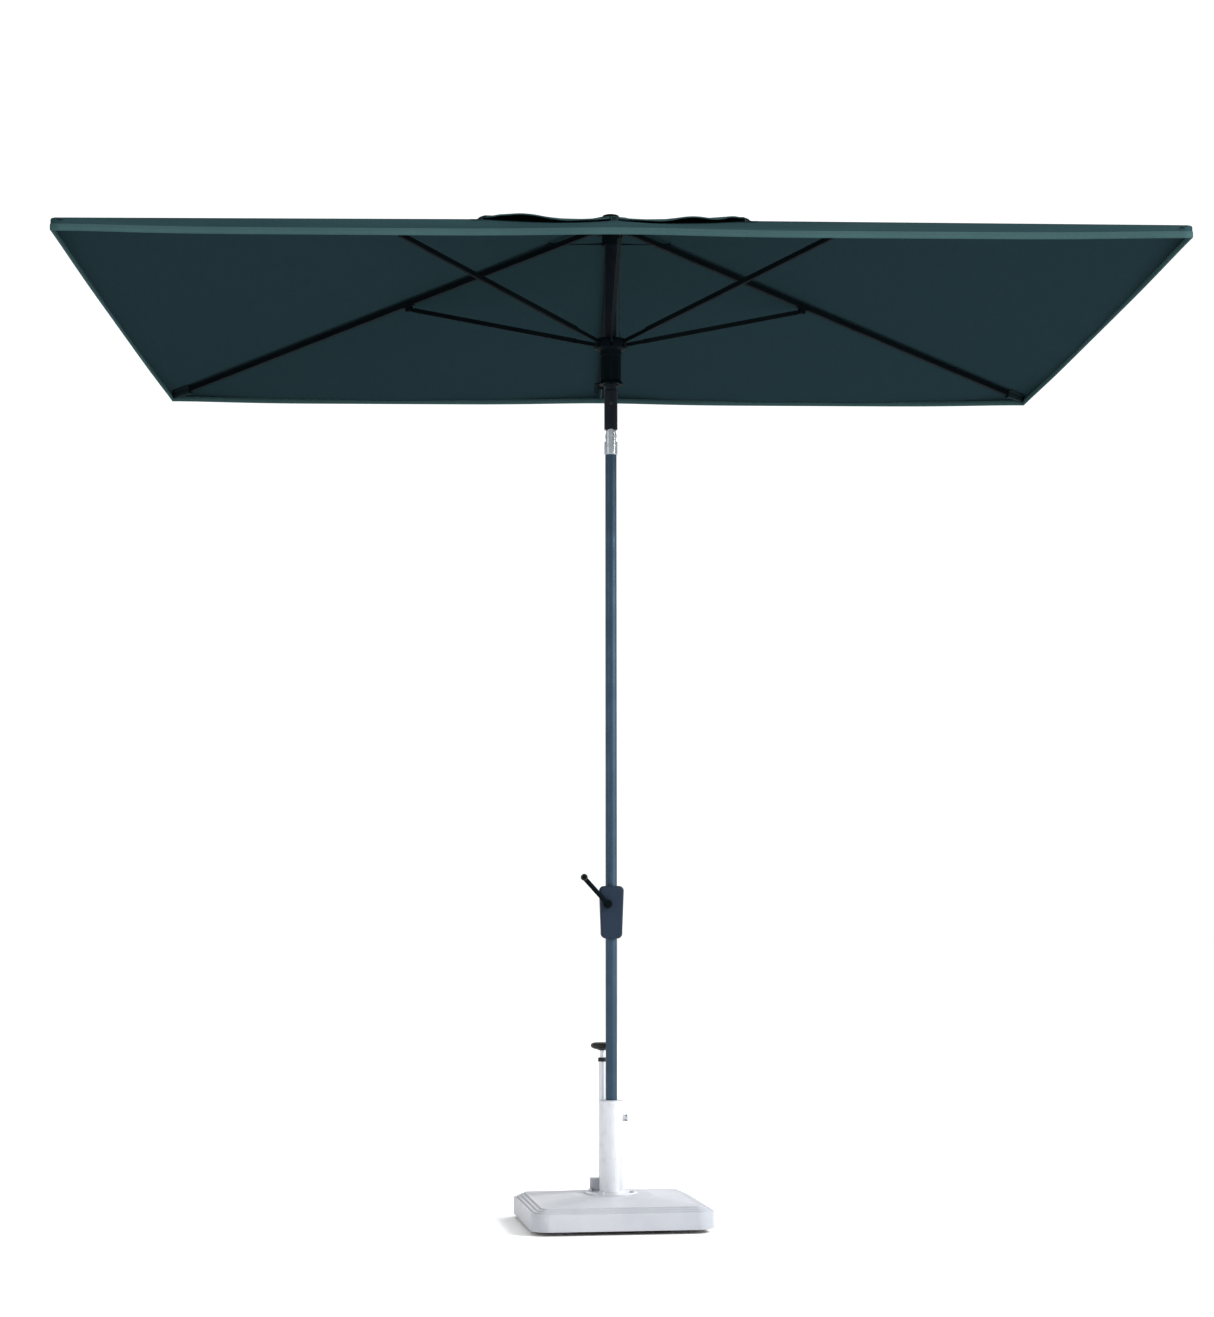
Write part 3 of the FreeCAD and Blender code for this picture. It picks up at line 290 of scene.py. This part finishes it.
def poured(name):
    """Poured concrete: sandy grain and darker specks, which are partly sand and partly painted shade for
    small air holes.
    """
    look = Look(name, Roughness=0.9)
    sand = look.grain(260, 6)
    cloud = look.grain(12, 5)
    base = look.blend(look.between(cloud, 0.3, 0.7, 0, 1), linear(146, 143, 138), linear(120, 118, 114))
    # Darker specks: sand grains, with painted shade where they stand for small air holes.
    look.colour(look.blend(look.between(sand, 0.55, 0.7, 0, 0.5), base, linear(90, 88, 84)))
    look.raise_by(sand, 0.0008, 0.7)
    return look.material


# The darker underside colours given to the canopy cloth and the seam tape are painted shade.
cloth_look = woven("canopy_weave", (36, 56, 59), (31, 50, 54), painted_underside_shade=(22, 37, 41))
# The hem is the same cloth as the roof, painted lighter: painted light for the lit strip along the canopy's
# edge.
hem_painted_light_look = woven("hem_weave_painted_light", (54, 78, 79), (46, 69, 71), stitch_rows=(0.003, 0.0065, 0.0285))
tape_rows = (0.0028, 0.0132)
tape_look = woven("tape_weave", (34, 53, 56), (30, 48, 52), painted_underside_shade=(22, 36, 40), stitch_rows=tape_rows)
# The binding under the ribs and its thread are as dark as the cloth's underside: painted shade.
binding_painted_shade_look = woven(
    "binding_weave_painted_shade", (21, 34, 38), (18, 30, 34), stitch_rows=tape_rows, thread=(34, 48, 52)
)
trim_look = woven("trim_weave", (50, 73, 75), (43, 65, 68), stitch_rows=(0.003,))
webbing_look = woven("webbing_weave", (20, 29, 32), (16, 24, 27), stitch_rows=(0.003, 0.017))
# The frame's near-black teal colour is partly its dark paint and partly painted shade from the canopy above.
frame_paint = painted("frame_paint", (9, 15, 18), (7, 12, 15), rough=0.55, shine=0.01)
pole_paint = painted("pole_paint", (50, 69, 84), (42, 60, 75), rough=0.45, metal=0.85, shine=0.5)
# The tilt head is a dark casting; on the upper pole, which has the lower poles' paint, this darker colour is
# painted shade from the canopy.
dark_head_and_shaded_pole_paint = painted("dark_head_and_shaded_pole_paint", (14, 20, 28), (11, 16, 23), rough=0.4, shine=0.12)
case_plastic = moulded("case_plastic", (28, 41, 56), (23, 35, 49), rough=0.42, shine=0.12)
# Near black with a teal tint: partly the plastic's own dark colour and partly painted shade, set for the
# parts under the canopy.
dark_plastic = moulded("dark_plastic", (7, 14, 17), (5, 11, 14), rough=0.5, shine=0.01)
black_plastic = moulded("black_plastic", (30, 30, 31), (22, 22, 24), rough=0.5, grain_size=1100)
light_plastic = moulded("light_plastic", (164, 166, 171), (150, 153, 160), rough=0.4, grain_size=420)
wheel_plastic = moulded("wheel_plastic", (48, 49, 51), (38, 39, 41), rough=0.55)
nylon = moulded("nylon", (222, 219, 210), (206, 202, 192), rough=0.35)
chrome = brushed("chrome", (156, 163, 169), rough=0.2)
bright_steel = brushed("bright_steel", (186, 189, 192), rough=0.3)
sleeve_steel = brushed("sleeve_steel", (196, 199, 204), rough=0.42, metal=0.6)
foot_rubber = rubbery("foot_rubber", (118, 120, 128))
line_cord = roped("line_cord", (30, 33, 36), (18, 20, 22))
concrete = poured("concrete")

LOOKS = {
    light_plastic: ["base_shell", "handle_bracket", "sleeve_bushes"],
    concrete: ["base_ballast"],
    foot_rubber: ["base_feet"],
    bright_steel: ["wheel_axles", "flange_bolts", "clamp_screw", "case_screws", "tilt_rivets",
                   "button_spring", "hub_pins", "pulley_pin", "runner_pins"],
    sleeve_steel: ["base_sleeve", "sleeve_collar", "handle_tube", "handle_rod"],
    black_plastic: ["handle_ring", "handle_grip", "crank_grip", "tilt_button"],
    dark_plastic: ["crank_drum", "pole_foot_plug", "runner", "top_hub", "finial"],
    wheel_plastic: ["wheel_left", "wheel_right"],
    pole_paint: ["lower_pole", "middle_pole"],
    dark_head_and_shaded_pole_paint: ["upper_pole", "tilt_head"],
    case_plastic: ["crank_case_front", "crank_case_rear"],
    chrome: ["tilt_fork"],
    nylon: ["crank_bushes", "pulley"],
    line_cord: ["lift_line_lower", "lift_line_upper", "lift_line_fall"],
    frame_paint: ["crank_arm"] + [part + place for part in ("rib_", "stay_") for place in SHARES],
    cloth_look: ["canopy_" + place for place in SHARES],
}
for look, names in LOOKS.items():
    for name in names:
        NODES[name].data.materials.clear()
        NODES[name].data.materials.append(look)

# The hard parts' edges are slightly rounded, as moulding and coating leave them.
ROUNDED = {
    "base_shell": 0.0012,
    "base_feet": 0.0015,
    "handle_bracket": 0.0015,
    "crank_case_front": 0.0008,
    "crank_case_rear": 0.0008,
    "runner": 0.0008,
    "top_hub": 0.0006,
    "crank_arm": 0.0006,
}
ROUNDED.update({part + place: 0.0008 for part in ("rib_", "stay_") for place in SHARES})
for name, width in ROUNDED.items():
    weld = NODES[name].modifiers.new("Weld", "WELD")
    weld.merge_threshold = 0.00001
    bevel = NODES[name].modifiers.new("Bevel", "BEVEL")
    bevel.width = width
    bevel.segments = 2
    bevel.limit_method = "ANGLE"
    bevel.angle_limit = math.radians(28)
    bevel.use_clamp_overlap = True
    bevel.harden_normals = True


# ---- shapes --------------------------------------------------------------------------------------


def surface(name, rows, look, closed=False, spans=None):
    """A smooth surface through rows of points. Spans are each point's flat cloth coordinates."""
    count = len(rows[0])
    faces = []
    for i in range(len(rows) - 1):
        for j in range(count if closed else count - 1):
            first, second = i * count + j, i * count + (j + 1) % count
            faces.append((first, first + count, second + count, second))
    mesh = bpy.data.meshes.new(name)
    mesh.from_pydata([point for row in rows for point in row], [], faces)
    mesh.polygons.foreach_set("use_smooth", [True] * len(faces))
    mesh.materials.append(look)
    if spans is not None:
        flat = [span for row in spans for span in row]
        layer = mesh.uv_layers.new(name="UVMap")
        for loop in mesh.loops:
            layer.data[loop.index].uv = flat[loop.vertex_index]
    obj = bpy.data.objects.new(name, mesh)
    bpy.context.scene.collection.objects.link(obj)
    return obj


def thicken(obj, thickness, offset=-1.0):
    solid = obj.modifiers.new("Solidify", "SOLIDIFY")
    solid.thickness = thickness
    solid.offset = offset
    return obj


def steps(first, last, count):
    return [first + (last - first) * i / (count - 1) for i in range(count)]


def smooth(low, high, number):
    share = min(1.0, max(0.0, (number - low) / (high - low)))
    return share * share * (3 - 2 * share)


def rim_path(place, half_x, half_y, spacing):
    """Points anticlockwise along the part of the edge that belongs to one rib's share."""
    side, front = SHARES[place]
    if side == 0:
        corners = [(half_x / 2, half_y), (0, half_y), (-half_x / 2, half_y)]
    else:
        corners = [(half_x, 0), (half_x, half_y), (half_x / 2, half_y)]
    corners = [(x * (side or 1), y * front) for x, y in corners]
    if (side or 1) * front < 0:
        corners.reverse()
    points = [corners[0]]
    for start, end in zip(corners, corners[1:]):
        count = max(1, round(math.dist(start, end) / spacing))
        points += [
            (start[0] + (end[0] - start[0]) * i / count, start[1] + (end[1] - start[1]) * i / count)
            for i in range(1, count + 1)
        ]
    return points


def panel_middle(x, y, half_x=HALF_X, half_y=HALF_Y):
    """0 over a rib and 1 in the middle of a cloth panel."""
    side, front = abs(x) / half_x, abs(y) / half_y
    if side >= front:
        return 1 - (front / max(side, 0.0001)) ** 2
    share = side / front
    return 4 * share * (1 - share)


def outward(x, y, half_x, half_y):
    """The way out of the canopy at a point of its edge."""
    near = 0.9999
    way_x = math.copysign(1, x) if abs(x) > half_x * near else 0
    way_y = math.copysign(1, y) if abs(y) > half_y * near else 0
    return way_x, way_y


def roof_height(x, y):
    """The canopy's outer surface: flat over the ribs, hanging a little between them, faintly creased."""
    out = max(abs(x) / HALF_X, abs(y) / HALF_Y)
    middle = panel_middle(x, y)
    hang = PANEL_HANG * middle * smooth(0.1, 0.45, out)
    hang += EDGE_DROOP * smooth(0.04, 0.7, middle) * smooth(0.75, 1.0, out)
    crease = CREASE * noise.noise(Vector((x * 5, y * 5, 0.3))) * min(1, 3 * middle)
    pull = RIB_PULL * math.sin(26 * math.atan2(y, x)) * smooth(0.55, 0.98, out) * middle
    return APEX - RISE * out - hang + crease + pull


def flat_spans(obj, rows_down, half_x, half_y):
    """Lays each roof face out flat, threads along its edge, so that the weave turns at the corner ribs."""
    layer = obj.data.uv_layers.new(name="UVMap")
    for face in obj.data.polygons:
        along_y = abs(face.center.x) / half_x > abs(face.center.y) / half_y
        for loop in face.loop_indices:
            index = obj.data.loops[loop].vertex_index
            point = obj.data.vertices[index].co
            layer.data[loop].uv = (point.y if along_y else point.x, rows_down[index])


def tangent(place):
    """The level direction square to a rib, along which its cloth gathers as the umbrella folds."""
    side, front = SHARES[place]
    rib = Vector((side * HALF_X, front * HALF_Y, 0)).normalized()
    return Vector((-rib.y, rib.x, 0))


def sew_to(obj, place, gathers=True):
    """The piece rides its rib; a piece that gathers gets its own copy of its mesh."""
    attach(obj, "rib_" + place)
    if gathers:
        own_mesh(obj)
    return obj


# ---- canopy --------------------------------------------------------------------------------------

ROOF_ROWS = 46
RIM_STEP = 0.02
TURN = 0.006
HEM_ROWS = 4


def hem_line(x, y):
    """The height of the hem's lower edge, which dips between the rib ends."""
    return HEM_BOTTOM - HEM_DIP * smooth(0.05, 0.9, panel_middle(x, y))


def canopy_share(place):
    """The roof cloth over one rib, from the vent's opening out to the edge, and turned down into the hem."""
    rim = rim_path(place, HALF_X, HALF_Y, RIM_STEP)
    rows, down = [], []
    for out in steps(OPENING, EDGE, ROOF_ROWS):
        rows.append([(x * out, y * out, roof_height(x * out, y * out)) for x, y in rim])
        down += [out * HALF_X] * len(rim)
    edge = rows[-1]
    for turned in (30, 60, 90):
        angle = math.radians(turned)
        scale = 1 - TURN * (1 - math.sin(angle))
        drop = TURN * (1 - math.cos(angle))
        rows.append([(x * scale, y * scale, low[2] - drop) for (x, y), low in zip(rim, edge)])
        down += [EDGE * HALF_X + TURN * angle] * len(rim)
    fall = rows[-1]
    for share in steps(0, 1, HEM_ROWS)[1:]:
        rows.append([(x, y, low[2] + (hem_line(x, y) - low[2]) * share) for (x, y), low in zip(rim, fall)])
        down += [HALF_X + 0.004 + HEM_HEIGHT * share] * len(rim)
    obj = surface("canopy_cloth_" + place, rows, cloth_look)
    flat_spans(obj, down, HALF_X, HALF_Y)
    return obj


def band(name, rim, half_x, half_y, section, look):
    """A folded strip along an edge. Section is (way out, height) points, height above the rim's own."""
    rows, spans = [], []
    reach = 0.0
    for i, (x, y, z) in enumerate(rim):
        if i:
            reach += math.dist(rim[i - 1][:2], (x, y))
        way_x, way_y = outward(x, y, half_x, half_y)
        rows.append([(x + way_x * out, y + way_y * out, z + up) for out, up in section])
        lengths = [0.0]
        for before, after in zip(section, section[1:]):
            lengths.append(lengths[-1] + math.dist(before, after))
        spans.append([(reach, length) for length in lengths])
    return surface(name, rows, look, spans=spans)


HEM_SECTION = [
    (0.0000, 0.0146),
    (0.0009, 0.0136),
    (0.0011, 0.0075),
    (0.0010, 0.0012),
    (0.0000, -0.0004),
    (-0.0018, -0.0005),
    (-0.0027, 0.0012),
    (-0.0028, 0.0075),
    (-0.0026, 0.0136),
    (-0.0015, 0.0146),
]


def seam_tape(place, name, raised, look):
    """The felled seam on the roof or, where raised is below 0, the binding under it, along a rib."""
    side, front = SHARES[place]
    rib_x, rib_y = side * HALF_X, front * HALF_Y
    across = tangent(place)
    length = math.hypot(rib_x, rib_y)
    rows, spans = [], []
    for out in steps(OPENING, EDGE, 90):
        row, flat = [], []
        for share in steps(-1, 1, 9):
            offset = share * TAPE / 2
            x, y = rib_x * out + across.x * offset, rib_y * out + across.y * offset
            lift = raised * (1 - share**6) - 0.0003 * math.copysign(1, raised)
            row.append((x, y, roof_height(x, y) + lift - (CLOTH if raised < 0 else 0)))
            flat.append((out * length, offset + TAPE / 2))
        rows.append(row)
        spans.append(flat)
    return surface(name, rows, look, spans=spans)


POCKET_HALF = [
    (0.004, -0.0193),
    (0.0066, -0.016),
    (0.0068, -0.006),
    (0.0095, -0.001),
    (0.017, 0.0),
]
POCKET_SECTION = [(-wide, up) for wide, up in reversed(POCKET_HALF)] + POCKET_HALF
MID_POCKET_DEPTH = 0.82


def rib_pocket(place):
    """The webbing pocket that holds the end of a rib. The middle ribs are shallower than the corner ones."""
    side, front = SHARES[place]
    rib = Vector((side * HALF_X, front * HALF_Y, 0))
    reach = rib.length
    rib.normalize()
    across = tangent(place)
    depth = 1 if side else MID_POCKET_DEPTH
    section = [(wide, up * depth) for wide, up in POCKET_SECTION]
    rows, spans = [], []
    for out in steps(reach - 0.075, reach - 0.012, 14):
        flare = 1 + 0.12 * smooth(reach - 0.045, reach - 0.075, out)
        row = []
        for wide, up in section:
            x, y = rib.x * out + across.x * wide, rib.y * out + across.y * wide
            row.append((x, y, roof_height(x, y) - CLOTH - 0.0004 + up * flare))
        rows.append(row)
        spans.append([(out, 0.004 * i) for i in range(len(section))])
    return thicken(surface("rib_pocket_" + place, rows, webbing_look, spans=spans), 0.0011, offset=0)


for place in SHARES:
    share = canopy_share(place)
    rim = [(x, y, hem_line(x, y)) for x, y in rim_path(place, HALF_X, HALF_Y, RIM_STEP)]
    hem = band("canopy_hem_" + place, rim, HALF_X, HALF_Y, HEM_SECTION, hem_painted_light_look)
    seam = seam_tape(place, "canopy_seam_" + place, 0.0011, tape_look)
    binding = seam_tape(place, "canopy_binding_" + place, -0.0008, binding_painted_shade_look)
    pocket = rib_pocket(place)
    for piece in (share, hem, seam, binding):
        sew_to(piece, place)
    sew_to(pocket, place, gathers=False)
    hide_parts("canopy_" + place)


# ---- vent cap ------------------------------------------------------------------------------------

VENT_ROWS = 26
CAP_TURNS = (
    # way round in radians, lift, spread in radians: where the cap's edge bulges between its ribs
    (-2.75, 0.007, 0.20),
    (-2.26, 0.014, 0.16),
    (-0.95, 0.0105, 0.12),
    (-0.72, 0.010, 0.06),
    (-0.25, 0.008, 0.20),
    (0.35, 0.009, 0.22),
    (1.02, 0.010, 0.20),
    (2.15, 0.011, 0.20),
    (2.80, 0.008, 0.24),
)


def cap_bulge(x, y):
    """How far the cap's edge stands up at this bearing."""
    turn = math.atan2(y, x)
    lift = 0.0
    for centre, height, spread in CAP_TURNS:
        apart = (turn - centre + math.pi) % (2 * math.pi) - math.pi
        lift += height * math.exp(-((apart / spread) ** 2))
    return lift * min(1, 2.2 * panel_middle(x, y, VENT_X, VENT_Y))


def cap_point(x, y, out):
    """A point of the vent cap: out is 0 at the crown and 1 at the edge."""
    reach = math.hypot(x, y)
    near = VENT_EYE / reach
    scale = near + (1 - near) * out
    px, py = x * scale, y * scale
    middle = panel_middle(x, y, VENT_X, VENT_Y)
    dip = CAP_HANG * math.sin(math.pi * out) * middle + CAP_EDGE_DROP * middle * out**2
    flutter = CAP_FLUTTER * noise.noise(Vector((px * 22, py * 22, 5.1))) * out * middle
    z = VENT_TOP + (VENT_RIM - VENT_TOP) * out - dip + cap_bulge(x, y) * out**3 + flutter
    return px, py, z


VENT_HEM = [
    (0.0000, 0.0000),
    (0.0009, -0.0008),
    (0.0009, -0.0026),
    (0.0004, -0.0038),
    (-0.0010, -0.0041),
    (-0.0022, -0.0037),
    (-0.0026, -0.0027),
    (-0.0026, -0.0014),
]


TAB_HALF = 0.010
TAB_IN = -0.026
TAB_OUT = 0.034


def cap_tab(place):
    """A stitched tab that ties the cap's edge down to the canopy over a rib."""
    side, front = SHARES[place]
    cap_x, cap_y = side * VENT_X, front * VENT_Y
    rib = Vector((side * HALF_X, front * HALF_Y, 0)).normalized()
    across = tangent(place)
    edge = math.hypot(cap_x, cap_y)
    rows, spans = [], []
    for along in steps(TAB_IN, TAB_OUT, 16):
        row, flat = [], []
        for share in steps(-1, 1, 7):
            offset = TAB_HALF * share
            x = cap_x + rib.x * along + across.x * offset
            y = cap_y + rib.y * along + across.y * offset
            on_cap = VENT_RIM + (VENT_TOP - VENT_RIM) * max(0, -along) / (edge - VENT_EYE)
            on_roof = roof_height(x, y)
            z = on_cap + (on_roof - on_cap) * smooth(-0.002, 0.012, along)
            row.append((x, y, z + 0.0013 * (1 - 0.6 * share**6)))
            flat.append((along, offset + TAB_HALF))
        rows.append(row)
        spans.append(flat)
    return thicken(surface("vent_tab_" + place, rows, webbing_look, spans=spans), 0.0009)


for place in SHARES:
    rim = rim_path(place, VENT_X, VENT_Y, 0.006)
    rows, down = [], []
    for out in steps(0, 1, VENT_ROWS):
        rows.append([cap_point(x, y, out) for x, y in rim])
        down += [out * VENT_X] * len(rim)
    cap = surface("vent_cloth_" + place, rows, cloth_look)
    flat_spans(cap, down, VENT_X, VENT_Y)
    trim = band("vent_hem_" + place, rows[-1], VENT_X, VENT_Y, VENT_HEM, trim_look)
    tab = cap_tab(place)
    for piece in (cap, trim, tab):
        sew_to(piece, place)
    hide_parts("canopy_" + place)


def ringed(name, profile, look, centre=(0, 0, 0), axis="z", sides=72, shape=None):
    """A turned surface from (radius, height) points; shape may change the radius round the turn."""
    rows = []
    for radius, height in profile:
        row = []
        for i in range(sides):
            turn = 2 * math.pi * i / sides
            reach = radius * (shape(turn, radius, height) if shape else 1)
            flat = (reach * math.cos(turn), reach * math.sin(turn), height)
            if axis == "-y":
                flat = (flat[0], -height, flat[1])
            row.append(tuple(a + b for a, b in zip(centre, flat)))
        rows.append(row)
    rows.reverse()
    return surface(name, rows, look, closed=True)


CROWN = [
    (0.006, 2.5376),
    (0.0204, 2.5374),
    (0.027, 2.5412),
    (0.034, 2.5416),
    (0.044, 2.5400),
    (0.053, 2.5384),
    (0.061, 2.5362),
]
CROWN_STITCHED = 0.05


def puckers(turn, radius, height):
    return 1 + 0.02 * radius / 0.06 * math.sin(12 * turn)


crown = ringed("vent_crown", CROWN, trim_look, shape=puckers)
crown_spans = crown.data.uv_layers.new(name="UVMap")
for loop in crown.data.loops:
    point = crown.data.vertices[loop.vertex_index].co
    way_round = math.atan2(point.y, point.x) * CROWN_STITCHED
    crown_spans.data[loop.index].uv = (way_round, math.hypot(point.x, point.y) - CROWN_STITCHED)
thicken(crown, 0.0012)
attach(crown, "top_mast")


def ten_flutes(turn, radius, height):
    return 1 - 0.035 * smooth(0.020, 0.0228, radius) * (0.5 - 0.5 * math.cos(10 * turn))


FINIAL = [
    (0.0004, 2.5384),
    (0.0180, 2.5384),
    (0.0192, 2.5394),
    (0.0194, 2.5442),
    (0.0204, 2.5460),
    (0.0221, 2.5468),
    (0.0228, 2.5488),
    (0.0225, 2.5516),
    (0.0206, 2.5540),
    (0.0166, 2.5555),
    (0.0100, 2.5562),
    (0.0004, 2.5564),
]
finial_cap = ringed("finial_cap", FINIAL, dark_plastic, sides=120, shape=ten_flutes)
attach(finial_cap, "top_mast")
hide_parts("finial")


# ---- line, grips ---------------------------------------------------------------------------------

line_low, line_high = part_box("lift_line_fall")
line_x = (line_low.x + line_high.x) / 2
ROPE_RADIUS = 0.00125
STRAND = 0.00016
TWIST = 500
rows = []
for z in steps(line_low.z, line_high.z, 180):
    row = []
    for i in range(12):
        turn = 2 * math.pi * i / 12
        reach = ROPE_RADIUS + STRAND * math.cos(3 * (turn - z * TWIST))
        row.append((line_x + reach * math.cos(turn), reach * math.sin(turn), z))
    rows.append(row)
rows.reverse()
rope = surface("lift_rope", rows, line_cord, closed=True)
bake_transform(rope)
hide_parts("lift_line_fall")

knob_low, knob_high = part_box("crank_grip")
knob_centre = ((knob_low.x + knob_high.x) / 2, knob_high.y, (knob_low.z + knob_high.z) / 2)
knob_length = knob_high.y - knob_low.y
KNOB_BORE = 0.0032
KNOB_GROOVES = 11
knob_profile = [(KNOB_BORE, 0.0), (0.0062, 0.0), (0.0076, 0.0006), (0.0082, 0.002)]
for share in steps(0.06, 0.94, 40):
    swell = 0.0079 + 0.0006 * smooth(0.2, 0.7, share)
    groove = 0.00035 * (0.5 + 0.5 * math.cos(2 * math.pi * share * KNOB_GROOVES))
    knob_profile.append((swell - groove, share * knob_length))
knob_profile += [
    (0.0082, knob_length - 0.0024),
    (0.0072, knob_length - 0.0009),
    (0.0056, knob_length),
    (KNOB_BORE, knob_length),
]
knob = ringed("crank_knob_cover", knob_profile, black_plastic, centre=knob_centre, axis="-y", sides=48)
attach(knob, "crank_knob")
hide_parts("crank_grip")

grip_low, grip_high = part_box("handle_grip")
grip_centre = ((grip_low.x + grip_high.x) / 2, (grip_low.y + grip_high.y) / 2, grip_low.z)
grip_radius = (grip_high.x - grip_low.x) / 2
grip_height = grip_high.z - grip_low.z
GRIP_PROFILE = [
    (0.20, 0.00), (0.34, 0.00), (0.37, 0.05), (0.45, 0.10), (0.62, 0.15), (0.78, 0.22), (0.90, 0.32),
    (0.96, 0.42), (0.99, 0.52), (0.995, 0.62), (0.975, 0.72), (0.93, 0.81), (0.85, 0.885), (0.74, 0.935),
    (0.60, 0.965), (0.52, 0.972), (0.48, 0.965), (0.44, 0.960), (0.30, 0.966), (0.14, 0.97), (0.004, 0.972),
]


def finger_scallops(turn, radius, height):
    edge = smooth(0.75, 1.0, radius / grip_radius)
    return 1 - 0.028 * edge * (0.5 - 0.5 * math.cos(10 * turn))


grip_points = [(radius * grip_radius, height * grip_height) for radius, height in GRIP_PROFILE]
grip = ringed(
    "pull_grip_cover", grip_points, black_plastic, centre=grip_centre, sides=120, shape=finger_scallops
)
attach(grip, "pull_handle")
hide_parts("handle_grip")


# ---- studio --------------------------------------------------------------------------------------


def pale(name, colour, spread):
    """Matt paper that varies a little in shade."""
    look = Look(name, Roughness=0.85)
    cloud = look.between(look.grain(1.5, 3), 0.3, 0.7, 0, 1)
    look.colour(look.blend(cloud, linear(*colour), linear(*[c - spread for c in colour])))
    return look.material


floor_mesh = bpy.data.meshes.new("floor")
floor_mesh.from_pydata([(-60, -60, 0), (60, -60, 0), (60, 60, 0), (-60, 60, 0)], [], [(0, 1, 2, 3)])
floor = bpy.data.objects.new("floor", floor_mesh)
floor.data.materials.append(pale("floor_paper", (246, 246, 246), 3))
bpy.context.scene.collection.objects.link(floor)


def softbox(name, place, aim, size, power):
    lamp = bpy.data.lights.new(name, "AREA")
    lamp.shape = "RECTANGLE"
    lamp.size, lamp.size_y = size
    lamp.energy = power
    obj = bpy.data.objects.new(name, lamp)
    obj.location = place
    obj.rotation_euler = (Vector(aim) - Vector(place)).to_track_quat("-Z", "Y").to_euler()
    bpy.context.scene.collection.objects.link(obj)


softbox("key", (6.4, -3.4, 4.8), (0, 0, 1.5), (2.4, 3.0), 820)
softbox("fill", (-6.0, -4.5, 3.0), (0, 0, 1.4), (3.0, 3.0), 60)
softbox("rim", (3.0, 5.0, 4.5), (0, 0, 2.0), (3.0, 2.0), 260)

world = bpy.data.worlds.new("studio")
world.use_nodes = True
background = world.node_tree.nodes["Background"]
background.inputs["Color"].default_value = (1, 1, 1, 1)
background.inputs["Strength"].default_value = 1.0
scene = bpy.context.scene
scene.world = world
scene.view_settings.view_transform = "Standard"
scene.view_settings.exposure = 0.14

lens = bpy.data.cameras.new("camera")
lens.lens = 72.74
lens.sensor_width = 36
lens.sensor_fit = "AUTO"
lens.clip_end = 300
camera = bpy.data.objects.new("camera", lens)
camera.location = (-0.211, -6.709, 0.807)
camera.rotation_euler = tuple(math.radians(angle) for angle in (95.15, 0.04, -1.71))
scene.collection.objects.link(camera)
scene.camera = camera
